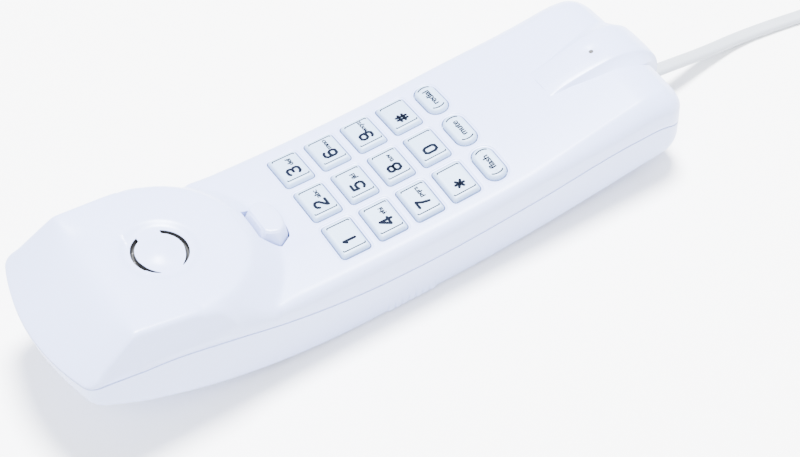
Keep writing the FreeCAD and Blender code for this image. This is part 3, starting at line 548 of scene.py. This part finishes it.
def border(i0, i1, j0, j1):
    """The grid points round a cell, anticlockwise."""
    points = [upper_grid[i0, j] for j in range(j0, j1)]
    points += [upper_grid[i, j1] for i in range(i0, i1)]
    points += [upper_grid[i1, j] for j in range(j1, j0, -1)]
    points += [upper_grid[i, j0] for i in range(i1, i0, -1)]
    return np.array(points)


def ring_at(centre, angles, reach, drop):
    """A ring on the upper surface, lowered by drop."""
    points = np.array(centre) + np.stack([np.cos(angles), np.sin(angles)], axis=1) * reach[:, None]
    return np.column_stack([points, top_height(points[:, 0], points[:, 1]) - drop])


def wall_down(ring, depth, skin):
    """The side of an opening, down from its edge, with its own vertices."""
    low = ring.copy()
    low[:, 2] -= depth
    skin.grid([ring, low], loop=True)


# The two curved earpiece slots, in degrees and millimetres, with a black sheet of painted shade behind
# them.
SLOT_STARTS = [(25.0, 1), (-25.0, -1)]
SLOT_RADIUS, SLOT_SWEEP, SLOT_TAPER, SLOT_WIDTH = 8.42, 133.0, 45.0, 1.35
SLOT_DEPTH, SHADE_SHEET_THICKNESS, SEAM = 0.3, 1.6, 0.02

openings, shade_sheet = Skin(), Skin()
for (i0, i1, j0, j1), kind, centre in cells:
    loop = border(i0, i1, j0, j1)
    away = loop - np.array(centre)
    angles = np.arctan2(away[:, 1], away[:, 0])
    outer = np.hypot(away[:, 0], away[:, 1])
    heights = top_height(loop[:, 0], loop[:, 1])
    rings = [np.column_stack([loop, heights])]
    if kind in ("key", "oval"):
        half_x, half_y, corner = (6.85, 5.1, 1.35) if kind == "key" else (6.85, 3.85, 3.6)
        steps = [(0.80, 0.0), (0.66, 0.02), (0.58, 0.09), (0.46, 0.20), (0.34, 0.25)]
        steps += [(0.14, 0.26), (0.05, 0.29), (0.0, 0.40)]
        for extra, drop in steps:
            outline = rounded_outline(half_x + extra, half_y + extra, corner + extra)
            reach = reach_of(outline + np.array(centre), centre)(angles)
            rings.append(ring_at(centre, angles, reach, drop))
        depth = 2.3
    elif kind == "tab":
        for extra, drop in [(2.5, 0.0), (1.2, 0.0), (0.75, 0.0), (0.6, 0.03), (0.5, 0.12)]:
            reach = reach_of(tab_outline(extra), centre)(angles)
            rings.append(ring_at(centre, angles, reach, drop))
        depth = 2.6
    else:
        for radius in (14.5, 13.2, 12.4, 11.8, 11.2, 10.6, 10.0, 9.5, 9.0, 8.7):
            rings.append(ring_at(centre, angles, np.full(len(angles), radius), 0.0))
        depth = 0.0
    upper.grid(rings, loop=True)
    if depth > 0:
        wall_down(rings[-1], depth, openings)
    if kind == "ear":
        turn = np.degrees(angles) % 360
        inside = np.zeros(len(angles))
        for start, way in SLOT_STARTS:
            along = (way * (turn - start)) % 360
            blunt = np.clip(along / 5.0, 0, 1)
            taper = blunt * np.clip((SLOT_SWEEP - along) / SLOT_TAPER, 0, 1) ** 0.6
            inside = np.maximum(inside, taper)
        outer_reach = np.where(inside > 0, SLOT_RADIUS - SEAM * (1 - inside), SLOT_RADIUS)
        inner_reach = SLOT_RADIUS - np.maximum(SLOT_WIDTH * inside, SEAM)
        edge_out = ring_at(centre, angles, outer_reach, 0.0)
        edge_in = ring_at(centre, angles, inner_reach, 0.0)
        upper.grid([rings[-1], edge_out], loop=True)
        wide = inside > 0.04
        open_here = wide & np.roll(wide, -1)
        upper.grid([edge_out, edge_in], loop=True, keep=lambda i, j: not open_here[j])
        bowl = [edge_in]
        for radius in (6.9, 6.4, 5.7, 4.9, 4.0, 3.0, 2.0, 1.0, 0.3):
            bowl.append(ring_at(centre, angles, np.full(len(angles), radius), 0.0))
        upper.grid(bowl, loop=True)
        upper.cap(bowl[-1])
        low_out, low_in = edge_out.copy(), edge_in.copy()
        low_out[:, 2] -= SLOT_DEPTH
        low_in[:, 2] -= SLOT_DEPTH
        openings.grid([edge_out, low_out], loop=True, keep=lambda i, j: open_here[j])
        openings.grid([edge_in, low_in], loop=True, flip=True, keep=lambda i, j: open_here[j])
        # Painted shade: a black sheet 0.3 mm under each slot opening makes the slots read dark.
        thickness = [0, 0, SHADE_SHEET_THICKNESS]
        shade_sheet_out, shade_sheet_in = low_out - thickness, low_in - thickness
        shade_sheet_rings = [low_out, shade_sheet_out, shade_sheet_in, low_in]
        shade_sheet.grid(shade_sheet_rings, loop=True, keep=lambda i, j: open_here[j])

# The rim of the upper shell: shoulder rounding, side wall and parting edge.
outline, normals, inner = edge_loop(upper_side, upper_grid)
reach = np.sum((inner - outline) * normals, axis=1)
height = top_height(inner[:, 0], inner[:, 1])
further = inner + normals * 0.5
grade = (top_height(further[:, 0], further[:, 1]) - height) / 0.5
split = parting(outline[:, 1])
lean = side_lean(outline[:, 1])
pivot = LEAN_PIVOT
knee_height = height - grade * reach
leaning = knee_height > pivot
solved = (height - grade * (reach + lean * pivot)) / (1 - lean * grade)
knee_height = np.where(leaning, solved, knee_height)
knee_depth = np.where(leaning, lean * (knee_height - pivot), 0.0)
knee = np.stack([knee_depth, knee_height], axis=1)
start_inner = np.stack([reach, height], axis=1)
tangent = np.linalg.norm(start_inner - knee, axis=1)
direction = np.stack([np.where(leaning, lean, 0.0), np.ones(len(lean))], axis=1)
direction = direction / np.linalg.norm(direction, axis=1, keepdims=True)
room = np.maximum(knee_height - split - 0.5, 0.1)
tangent = np.minimum(tangent, room * 0.9)
wall = knee - direction * tangent[:, None]
wall[:, 0] = np.maximum(wall[:, 0], 0)
knee[:, 1] -= 1.7 * smooth_step(-outline[:, 1], 40, 78)
bends = bend(wall, knee, start_inner, 12)
rings = [place(outline, normals, part) for part in bends[::-1]]
foot = np.stack([np.zeros(len(split)), split + 0.30], axis=1)
for t in (0.25, 0.5, 0.75, 1.0):
    mixed = wall * (1 - t) + foot * t
    mixed[:, 0] = np.maximum(0.0, lean * (mixed[:, 1] - pivot))
    rings.append(place(outline, normals, mixed))
for depth, rise in ((0.07, 0.24), (0.20, 0.15), (1.6, 0.15)):
    lip = np.stack([np.full(len(split), depth), split + rise], axis=1)
    rings.append(place(outline, normals, lip))
upper.grid(rings, loop=True, flip=True)
upper_shell = upper.build("upper_shell_skin", SHELL, weld=0.002)
opening_walls = openings.build("opening_walls", SHELL)
# The black sheet under the earpiece slots is painted shade.
slot_shade_sheet = shade_sheet.build("slot_shade_sheet", BLACK_AND_SHADE)

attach(upper_shell, "handset")
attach(opening_walls, "handset")
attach(slot_shade_sheet, "handset")
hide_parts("upper_shell")


# ---------------------------------------------------------------- lower shell
def lower_rows():
    """Rows of the back, close together over the ribs."""
    rows = list(np.linspace(-95, -9.2, 110))
    rows += list(np.linspace(-9.075, 8.2, 142))
    rows += list(np.linspace(8.8, 86.0, 100))
    rows += list(np.linspace(87.0, 104.0, 20))
    return rows


def back_depth(x, y):
    """How far the rounding of the back reaches in from the outline."""
    depth = 4.6 + 2.6 * smooth_step(-y, 20, 90)
    return depth - 2.2 * smooth_step(y, 80, 102)


DRAFT, DRAFT_TOP = 1.6 / 17.0, 15.0
lower_side, lower_grid = lay_out(lower_rows(), back_depth, np.linspace(0, 24, 17))


def lower_skin(inset):
    """One skin of the lower shell, drawn in by inset: its bottom, edge rounding and side wall."""
    flat = lower_grid.reshape(-1, 2)
    ribs = rib_height(flat[:, 1]) if inset == 0 else 0.0
    bottom = np.column_stack([flat, back_height(flat[:, 1]) + inset - ribs])
    bottom = bottom.reshape(*lower_grid.shape[:2], 3)
    outline, normals, inner = edge_loop(lower_side, lower_grid)
    reach = np.sum((inner - outline) * normals, axis=1)
    height = back_height(inner[:, 1]) + inset
    further = inner + normals * 0.5
    grade = (back_height(further[:, 1]) + inset - height) / 0.5
    split = parting(outline[:, 1])
    knee_height = height - grade * reach
    knee_depth = np.clip((DRAFT_TOP - knee_height) * DRAFT, 0, 1.6) + inset
    knee = np.stack([knee_depth, knee_height], axis=1)
    start_inner = np.stack([reach, height], axis=1)
    tangent = np.linalg.norm(start_inner - knee, axis=1)
    tangent = np.minimum(tangent, (split - knee_height) * 0.75)
    drafted = knee_depth - tangent * DRAFT * (knee_height < DRAFT_TOP)
    wall = np.stack([drafted, knee_height + tangent], axis=1)
    wall[:, 0] = np.maximum(wall[:, 0], inset)
    on_side = np.abs(normals[:, 0]) > 0.98
    out = rib_height(outline[:, 1]) * on_side if inset == 0 else 0.0
    rings = []
    for part in bend(wall, knee, start_inner, 14)[::-1]:
        fade = 1 - smooth_step(part[:, 1], 3.2, 7.0)
        t = np.clip((reach - part[:, 0]) / np.maximum(reach - knee_depth, 0.1), 0, 1)
        moved = part.copy()
        moved[:, 0] -= out * fade * t
        moved[:, 1] -= out * (1 - t)
        rings.append(place(outline, normals, moved))
    foot = np.stack([np.full(len(split), float(inset)), split - 0.30], axis=1)
    for t in (0.2, 0.4, 0.6, 0.8, 1.0):
        rings.append(place(outline, normals, wall * (1 - t) + foot * t))
    return bottom, rings, outline, normals, split


lower = Skin()
bottom, rings, outline, normals, split = lower_skin(0.0)
for depth, drop in ((0.07, 0.24), (0.20, 0.15), (1.0, 0.15)):
    lip = np.stack([np.full(len(split), depth), split - drop], axis=1)
    rings.append(place(outline, normals, lip))
inner_bottom, inner_rings, *_ = lower_skin(2.0)
lower.grid(bottom, flip=True)
lower.grid(rings + inner_rings[::-1], loop=True)
lower.grid(inner_bottom)
lower_shell = lower.build("lower_shell_skin", SHELL, weld=0.002)


def circle(radius, x, y, z, count=48):
    """A level ring of points."""
    turn = np.linspace(0, 2 * math.pi, count, endpoint=False)
    return np.column_stack([x + radius * np.cos(turn), y + radius * np.sin(turn), np.full(count, z)])


SCREW_SEAT, WELL_RADIUS, SHANK_RADIUS, BOSS_RADIUS = 13.0, 3.1, 1.7, 4.6
SCREWS = [(-20.0, -88.0), (20.0, -88.0), (-21.0, 46.0), (21.0, 46.0)]
tool = Skin()
for x, y in SCREWS:
    low, high = circle(WELL_RADIUS, x, y, -3), circle(WELL_RADIUS, x, y, 11.0)
    tool.grid([low, high], loop=True)
    tool.cap(low, flip=True)
    tool.cap(high)
jack_slot = rounded_outline(5.4, 3.95, 0.5, 32)
slot_ends = []
for y in (-110.0, -97.5):
    level = np.full(len(jack_slot), y)
    slot_ends.append(np.column_stack([jack_slot[:, 0], level, jack_slot[:, 1] + 12.75]))
tool.grid(slot_ends, loop=True, flip=True)
tool.cap(slot_ends[0])
tool.cap(slot_ends[1], flip=True)
tool_object = tool.build("lower_openings", SHELL, weld=0.001, smooth=False)
carve = lower_shell.modifiers.new("openings", "BOOLEAN")
carve.operation = "DIFFERENCE"
carve.solver = "EXACT"
carve.object = tool_object
graph = bpy.context.evaluated_depsgraph_get()
carved = bpy.data.meshes.new_from_object(lower_shell.evaluated_get(graph))
lower_shell.modifiers.clear()
lower_shell.data = carved
carved.set_sharp_from_angle(angle=math.radians(38))
bpy.data.objects.remove(tool_object)

wells = Skin()
for x, y in SCREWS:
    base = float(back_height(y)) + 0.4
    shape = [(WELL_RADIUS, base), (WELL_RADIUS, SCREW_SEAT), (SHANK_RADIUS, SCREW_SEAT)]
    shape += [(SHANK_RADIUS, SCREW_SEAT + 2), (BOSS_RADIUS, SCREW_SEAT + 2), (BOSS_RADIUS, base + 1.6)]
    loops = [circle(radius, x, y, z) for radius, z in shape]
    for first, second in zip(loops, loops[1:]):
        wells.grid([first, second], loop=True, flip=True)
screw_wells = wells.build("screw_wells", SHELL)
for obj in (lower_shell, screw_wells):
    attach(obj, "handset")
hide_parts("lower_shell")

# ---------------------------------------------------------------- nose over the microphone
NOSE_START, NOSE_BEND, NOSE_END = -66.5, -87.0, -107.5
MIC, DIMPLE, DIMPLE_RADIUS = -85.7, 0.45, 2.3


def nose_crest(y):
    """Height of the nose's middle line before it rolls over."""
    along = (NOSE_START - y) / 32.5
    swell = 1.8 * (1 - (1 - min(1.0, along * 1.6)) ** 2)
    return float(face_height(0, y)) + swell - 0.25 * along**2


def nose_line():
    """The nose's crest from its start on the face, over the bulb and down to its chin."""
    points = [(y, nose_crest(y)) for y in np.linspace(NOSE_START, NOSE_BEND, 36)]
    for angle in np.linspace(0, math.pi / 2, 30)[1:]:
        y = NOSE_BEND + (NOSE_END - NOSE_BEND) * math.sin(angle)
        points.append((y, nose_crest(y) - 16.4 * (1 - math.cos(angle))))
    points += [(NOSE_END + 0.05, 21.4), (NOSE_END + 0.25, 20.3), (NOSE_END + 0.75, 19.4)]
    points += [(NOSE_END + 1.8, 18.9), (NOSE_END + 4.6, 18.9)]
    return np.array(points)


line = nose_line()
way = np.gradient(line, axis=0)
way /= np.linalg.norm(way, axis=1, keepdims=True)
inward = np.stack([-way[:, 1], way[:, 0]], axis=1)
inward *= np.sign(-inward[0, 1])
nose_rows = []
for (y, z), (ny, nz) in zip(line, inward):
    share = min(1.0, max(0.0, (NOSE_START - y) / 30.0))
    half = 5.75 + 1.6 * share
    fine = min(1.0, 0.12 + share * 4)
    soft = 3.2 * share * max(0.0, min(1.0, (y - NOSE_END) / 8.0))
    section = [(half + 1.3 + soft, 5.6), (half + 0.95 + soft, 2.6), (half + 0.75 + soft, 2.1)]
    section += [(half + 0.6 + 0.8 * soft, 1.85), (half - 0.2, 0.50), (half - 0.4, 0.26)]
    section += [(half - 0.8, 0.09), (half - 2.2, 0.02)]
    section = [(x, 0.02 + (d - 0.02) * (fine if d < 1.9 else 1)) for x, d in section]
    row = section + [(x, -0.12 * (1 - (x / half) ** 2)) for x in np.linspace(half - 3.6, 0.3, 5)]
    full = [(-x, d) for x, d in row] + [(x, d) for x, d in row[::-1]]
    if y > -104 and abs(nz) > 0.5:
        near = ((y - MIC) / DIMPLE_RADIUS) ** 2
        full = [(x, d + DIMPLE * math.exp(-((x / DIMPLE_RADIUS) ** 2) - near)) for x, d in full]
    nose_rows.append([(x, y + ny * d, z + nz * d) for x, d in full])
nose = Skin()
nose.grid(nose_rows, flip=True)
nose_object = nose.build("nose", SHELL, weld=0.002, sharp=32)
# Painted shade: a flat black disc just under the nose surface stands in for the dark inside of the
# microphone hole.
hole = Skin()
mic_rim = circle(1.05, 0, MIC, nose_crest(MIC) - 0.28, 32)
mic_rim[:, 2] += (MIC - FACE_Y) / (FACE_ALONG / 2) * (mic_rim[:, 1] - MIC)
hole.cap(mic_rim)
mic_hole_shade = hole.build("microphone_hole_shade", BLACK_AND_SHADE)
for obj in (nose_object, mic_hole_shade):
    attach(obj, "handset")

# ---------------------------------------------------------------- hook tab
TAB_BASE, TAB_TOP, TAB_TILT = 30.4, 34.4, 0.12
lever = Skin()
centre = np.array(TAB_CENTRE)
around = np.linspace(0, 2 * math.pi, 96, endpoint=False)
spokes = np.stack([np.cos(around), np.sin(around)], axis=1)
turn = np.linspace(0, math.pi, 25)
crown = [(6.7 * math.cos(a), 30.6 - 3.9 * math.sin(a)) for a in turn]
crown += [(-6.0, 32.9), (-4.9, 34.1), (4.9, 34.1), (6.0, 32.9)]
base_reach = reach_of(tab_outline(0.0), centre)(around)
crown_reach = reach_of(np.array(crown[::-1]), centre)(around)
levels = []
profile = [(0.0, 0.0, -3.6), (0.0, 0.0, -0.2), (0.30, 0.0, 1.6), (0.80, 0.0, 3.25), (1.0, 0.1, 3.6)]
profile += [(1.0, 0.3, 3.82), (1.0, 0.65, 3.96), (1.0, 1.1, 4.0)]
for share, shrink, rise in profile:
    reach_here = base_reach * (1 - share) + crown_reach * share - shrink
    loop = centre + spokes * reach_here[:, None]
    levels.append(np.column_stack([loop, TAB_BASE + TAB_TILT * (loop[:, 1] - TAB_CENTRE[1]) + rise]))
top_edge = levels[-1][:, :2]
for share in (0.75, 0.5, 0.25, 0.05):
    loop = centre + (top_edge - centre) * share
    levels.append(np.column_stack([loop, TAB_TOP + TAB_TILT * (loop[:, 1] - TAB_CENTRE[1])]))
lever.grid(levels, loop=True)
lever.cap(levels[-1])
lever.cap(levels[0], flip=True)
tab = lever.build("hook_tab", SHELL, weld=0.001, sharp=24)
arm = Skin()
for x0, x1, y0, y1, z0, z1 in ((-4, 4, 27.4, 49, 25.2, 27.2), (-4, 4, 45, 49, 27.0, 31.5)):
    ring = [(x0, y0), (x1, y0), (x1, y1), (x0, y1)]
    low, high = [(*p, z0) for p in ring], [(*p, z1) for p in ring]
    arm.grid([low, high], loop=True)
    arm.cap(low, flip=True)
    arm.cap(high)
turn = np.linspace(0, 2 * math.pi, 32, endpoint=False)
PIN_Y, PIN_Z = 47.0, 31.5
BARREL_HALF, BARREL_BORE, BARREL_RADIUS = 5.8, 1.05, 2.3
barrel = []
section = [(-1, BARREL_BORE), (-1, BARREL_RADIUS), (1, BARREL_RADIUS), (1, BARREL_BORE)]
for side, r in section + section[:1]:
    ends = np.full(len(turn), side * BARREL_HALF)
    barrel.append(np.column_stack([ends, PIN_Y + r * np.cos(turn), PIN_Z + r * np.sin(turn)]))
arm.grid(barrel, loop=True)
lever_arm = arm.build("hook_arm", SHELL, smooth=False)
for obj in (tab, lever_arm):
    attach(obj, "hook")
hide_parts("hook_lever")

# ---------------------------------------------------------------- key caps and printing
DIGIT_STROKES = {
    "1": [[(-0.35, 0.55), (0.1, 0.95), (0.1, -1.0)]],
    "2": [
        [
            (-0.85, 0.55), (-0.6, 0.9), (-0.2, 1.0), (0.3, 1.0), (0.75, 0.8),
            (0.85, 0.45), (0.7, 0.1), (-0.7, -0.75), (-0.85, -1.0), (0.9, -1.0),
        ],
    ],
    "3": [
        [
            (-0.85, 0.8), (-0.5, 1.0), (0.4, 1.0), (0.8, 0.75),
            (0.8, 0.35), (0.5, 0.08), (-0.2, 0.05),
        ],
        [(0.5, 0.05), (0.88, -0.25), (0.88, -0.7), (0.5, -1.0), (-0.5, -1.0), (-0.9, -0.75)],
    ],
    "4": [[(0.45, -1.0), (0.45, 1.0), (-0.9, -0.45), (0.95, -0.45)]],
    "5": [
        [
            (0.8, 1.0), (-0.7, 1.0), (-0.8, 0.15), (-0.3, 0.3), (0.4, 0.3),
            (0.85, 0.0), (0.88, -0.6), (0.5, -0.97), (-0.45, -1.0), (-0.9, -0.75),
        ],
    ],
    "6": [
        [
            (0.75, 0.8), (0.4, 1.0), (-0.4, 1.0), (-0.8, 0.65), (-0.85, -0.6), (-0.5, -1.0),
            (0.5, -1.0), (0.85, -0.65), (0.85, -0.25), (0.5, 0.1), (-0.4, 0.1), (-0.83, -0.2),
        ],
    ],
    "7": [[(-0.85, 1.0), (0.85, 1.0), (0.2, 0.1), (-0.15, -1.0)]],
    "8": [
        [
            (0.0, 0.08), (-0.5, 0.08), (-0.78, 0.35), (-0.78, 0.7), (-0.45, 1.0),
            (0.45, 1.0), (0.78, 0.7), (0.78, 0.35), (0.5, 0.08), (0.0, 0.08),
        ],
        [
            (0.0, 0.08), (-0.55, 0.05), (-0.88, -0.3), (-0.88, -0.65), (-0.5, -1.0),
            (0.5, -1.0), (0.88, -0.65), (0.88, -0.3), (0.55, 0.05), (0.0, 0.08),
        ],
    ],
    "9": [
        [
            (-0.75, -0.8), (-0.4, -1.0), (0.4, -1.0), (0.8, -0.65), (0.85, 0.6), (0.5, 1.0),
            (-0.5, 1.0), (-0.85, 0.65), (-0.85, 0.25), (-0.5, -0.1), (0.4, -0.1), (0.83, 0.2),
        ],
    ],
    "0": [
        [
            (-0.85, 0.6), (-0.5, 1.0), (0.5, 1.0), (0.85, 0.6), (0.85, -0.6),
            (0.5, -1.0), (-0.5, -1.0), (-0.85, -0.6), (-0.85, 0.6),
        ],
    ],
    "star": [[(0.0, 0.75), (0.0, -0.75)], [(-0.8, 0.42), (0.8, -0.42)], [(-0.8, -0.42), (0.8, 0.42)]],
    "hash": [
        [(-0.3, 0.85), (-0.5, -0.85)],
        [(0.5, 0.85), (0.3, -0.85)],
        [(-0.95, 0.35), (0.95, 0.35)],
        [(-0.95, -0.35), (0.95, -0.35)],
    ],
}
PRINT_LIFT = 1.02
LETTERS = {
    "2": "abc",
    "3": "def",
    "4": "ghi",
    "5": "jkl",
    "6": "mno",
    "7": "pqrs",
    "8": "tuv",
    "9": "wxyz",
}


def ink_stroke(skin, points, width, height):
    """A printed line with round ends and joins, standing a hair above the cap."""
    points = np.array(points, float)
    half = width / 2
    for a, b in zip(points, points[1:]):
        run = (b - a) / np.linalg.norm(b - a)
        angle = math.atan2(run[1], run[0])
        loop = []
        for centre, start in ((b, -90), (a, 90)):
            for step in range(9):
                turn = angle + math.radians(start + 180 * step / 8)
                x, y = centre[0] + half * math.cos(turn), centre[1] + half * math.sin(turn)
                loop.append((x, y, height))
        skin.cap(loop)
        height += 0.0008


def cap_rise(x, y):
    """The cap's top: very slightly hollow across."""
    return 1.0 - 0.06 * np.exp(-((np.asarray(x) / 5.0) ** 2) - (np.asarray(y) / 3.5) ** 2)


def key_cap(oval):
    """A key cap, its top at 1 mm above the face, with the flange that holds it in."""
    half_x, half_y, corner = (6.5, 3.5, 3.3) if oval else (6.5, 4.75, 1.0)
    skin = Skin()
    loops = []
    steps = [(0.0, -2.3), (0.0, -0.35), (0.03, -0.1), (0.30, 0.45), (0.42, 0.66)]
    steps += [(0.58, 0.83), (0.80, 0.94), (1.1, 0.985)]
    for shrink, z in steps:
        ring = rounded_outline(half_x - shrink, half_y - shrink, max(corner - shrink * 0.35, 0.6))
        loops.append(np.column_stack([ring, np.full(len(ring), z)]))
    edge = loops[-1][:, :2]
    for share in (0.8, 0.6, 0.4, 0.2, 0.05):
        ring = edge * share
        mix = min(1.0, (1 - share) * 4)
        z = 0.985 * (1 - mix) + cap_rise(ring[:, 0], ring[:, 1]) * mix
        loops.append(np.column_stack([ring, z]))
    skin.grid(loops, loop=True)
    skin.cap(loops[-1])
    skin.cap(loops[0], flip=True)
    flange = rounded_outline(half_x + 0.8, half_y + 0.8, corner + 0.5)
    low = np.column_stack([flange, np.full(len(flange), -3.3)])
    high = np.column_stack([flange, np.full(len(flange), -2.3)])
    skin.grid([low, high], loop=True)
    skin.cap(low, flip=True)
    skin.cap(high)
    return skin


def lettering(text, height, x, y, boldness, z):
    """Small printed lettering as a mesh, centred on a point of the cap."""
    curve = bpy.data.curves.new("lettering", "FONT")
    curve.body = text
    curve.size = height * MM
    curve.offset = boldness * MM
    curve.align_x, curve.align_y = "CENTER", "CENTER"
    holder = bpy.data.objects.new("lettering", curve)
    bpy.context.scene.collection.objects.link(holder)
    bpy.context.view_layer.update()
    mesh = bpy.data.meshes.new_from_object(holder)
    bpy.data.objects.remove(holder)
    mesh.transform(Matrix.Translation(Vector((x, y, z)) * MM))
    return mesh


def join_mesh(obj, mesh, transform):
    """Adds a mesh to an object's mesh."""
    work = bmesh.new()
    work.from_mesh(obj.data)
    mesh.transform(transform)
    work.from_mesh(mesh)
    work.to_mesh(obj.data)
    work.free()


for name, x, y, oval in KEYS:
    place_key = key_matrix(x, y)
    body = f"key_{name}_cap"
    cap = key_cap(oval).build(f"cap_{name}", KEYCAP, transform=place_key, sharp=50)
    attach(cap, body)
    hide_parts(f"key_{name}")
    ink = Skin()
    if oval:
        for side in (-1, 1):
            sweep = np.linspace(-1.15, 1.15, 13)
            arc = [(side * (4.0 + 1.0 * math.cos(a)), 1.65 * math.sin(a) * 1.25) for a in sweep]
            ink_stroke(ink, arc, 0.44, PRINT_LIFT)
        word, word_size, word_x, word_y = name, 3.1, 0.0, 0.0
    else:
        for side in (-1, 1):
            bar = [(side * 4.62, 3.7), (side * 4.97, 3.55), (side * 4.97, -3.55), (side * 4.62, -3.7)]
            ink_stroke(ink, bar, 0.40, PRINT_LIFT)
        for stroke in DIGIT_STROKES[name]:
            scaled = [(-1.85 + 1.40 * px, 1.95 * py) for px, py in stroke]
            ink_stroke(ink, scaled, 0.92, PRINT_LIFT)
        word, word_size, word_x, word_y = LETTERS.get(name, ""), 2.4, 2.2, -0.9
    printed = ink.build(f"print_{name}", PRINT, transform=place_key, smooth=False)
    if word:
        for shift in (-0.07, 0.07):
            lift = PRINT_LIFT + shift / 50
            mesh = lettering(word, word_size, word_x + shift, word_y, 0.04, lift)
            join_mesh(printed, mesh, place_key)
    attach(printed, body)

# ---------------------------------------------------------------- pieces carried over from the frame
repaint(STEEL, "hook_pin", "hook_spring", "receiver_retainer")
repaint(STEEL, "receiver_screws", "board_screws", "case_screws")
repaint(BLACK_AND_SHADE, "hook_switch", "receiver_capsule", "line_jack", "board_components")
repaint(BLACK_AND_SHADE, "receiver_gasket", "microphone_boot")
repaint(RUBBER, "key_mat")
repaint(BOARD, "main_board")
repaint(BRASS, "ringer_disc")
repaint(ALUMINIUM, "microphone_capsule")
repaint(CLEAR, "cord_plug", "wall_plug")

# ---------------------------------------------------------------- line cord
CORD_WIDTH, CORD_THICKNESS = 4.8, 2.6
route = [
    (0.0, -93.5, 12.3),
    (0.0, -108.0, 12.3),
    (0.6, -121.0, 9.6),
    (2.7, -136.0, 4.6),
    (4.0, -151.0, 1.7),
    (2.3, -165.0, 1.42),
    (-0.2, -178.5, 1.40),
    (-1.6, -193.0, 1.40),
]
COIL = (-30.7, -207.0)
LAYERS, STEP = 5, 2.66
OUTER_TURN, INNER_TURN, LOWEST = 28.45, 23.5, 1.40


def coil_turns():
    """Ten neat turns: in along the bottom, up the inside, then down the outside to the tail."""
    order = [(0, True)] + [(layer, False) for layer in range(LAYERS)]
    order += [(layer, True) for layer in range(LAYERS - 1, 0, -1)]
    rows = [(OUTER_TURN if outer else INNER_TURN, LOWEST + layer * STEP) for layer, outer in order]
    points = []
    per_turn = 24
    for number, (radius, height) in enumerate(rows):
        after = rows[min(number + 1, len(rows) - 1)]
        for step in range(per_turn):
            share = smooth_step(step / per_turn, 0.55, 1.0)
            r = radius + (after[0] - radius) * share
            z = height + (after[1] - height) * share
            angle = -2 * math.pi * step / per_turn
            points.append((COIL[0] + r * math.cos(angle), COIL[1] + r * math.sin(angle), z))
    last_r, last_z = rows[-1]
    for step in range(0, 6):
        angle = -2 * math.pi * step / per_turn
        points.append((COIL[0] + last_r * math.cos(angle), COIL[1] + last_r * math.sin(angle), last_z))
    return points


tail = [(-30.7, -235.45, 4.0), (-40.5, -236.0, 3.4), (-49.6, -238.1, 3.2)]
cord_points = route + coil_turns() + tail
curve = bpy.data.curves.new("line_cord_curve", "CURVE")
curve.dimensions = "3D"
curve.twist_mode = "Z_UP"
spline = curve.splines.new("NURBS")
spline.points.add(len(cord_points) - 1)
for point, place_at in zip(spline.points, cord_points):
    point.co = (*(c * MM for c in place_at), 1.0)
spline.order_u = 3
spline.use_endpoint_u = True
profile = bpy.data.curves.new("cord_profile", "CURVE")
profile.dimensions = "2D"
shape = profile.splines.new("POLY")
section = rounded_outline(CORD_WIDTH / 2, CORD_THICKNESS / 2, CORD_THICKNESS / 2 - 0.05, 32)
shape.points.add(len(section) - 1)
for point, (px, py) in zip(shape.points, section):
    point.co = (px * MM, py * MM, 0.0, 1.0)
shape.use_cyclic_u = True
profile_object = bpy.data.objects.new("cord_profile", profile)
bpy.context.scene.collection.objects.link(profile_object)
profile_object.hide_render = True
curve.bevel_mode = "OBJECT"
curve.bevel_object = profile_object
curve.use_fill_caps = True
curve.materials.append(CORD)
cord = bpy.data.objects.new("line_cord_curve", curve)
bpy.context.scene.collection.objects.link(cord)
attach(cord, "handset")
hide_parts("line_cord", "line_cord_coil")

# ---------------------------------------------------------------- table and light
floor = Skin()
HALF = 1500
floor.grid([[(-HALF, -HALF, 0), (-HALF, HALF, 0)], [(HALF, -HALF, 0), (HALF, HALF, 0)]], flip=True)
floor_object = floor.build("floor", FLOOR, smooth=False)

world = bpy.data.worlds.new("studio")
bpy.context.scene.world = world
world.use_nodes = True
world.node_tree.nodes["Background"].inputs["Color"].default_value = (0.93, 0.96, 1.0, 1.0)
world.node_tree.nodes["Background"].inputs["Strength"].default_value = 2.0


def softbox(name, place_at, aim, size, power):
    """A round area lamp aimed at a point."""
    data = bpy.data.lights.new(name, "AREA")
    data.shape = "DISK"
    data.size = size
    data.energy = power
    lamp = bpy.data.objects.new(name, data)
    lamp.location = place_at
    lamp.rotation_mode = "QUATERNION"
    lamp.rotation_quaternion = (Vector(aim) - Vector(place_at)).to_track_quat("-Z", "Y")
    bpy.context.scene.collection.objects.link(lamp)


softbox("key light", (0.16, -0.16, 1.10), (0, 0, 0), 0.34, 84.0)
softbox("fill light", (-0.5, 0.5, 0.9), (0, 0, 0), 0.5, 10.0)
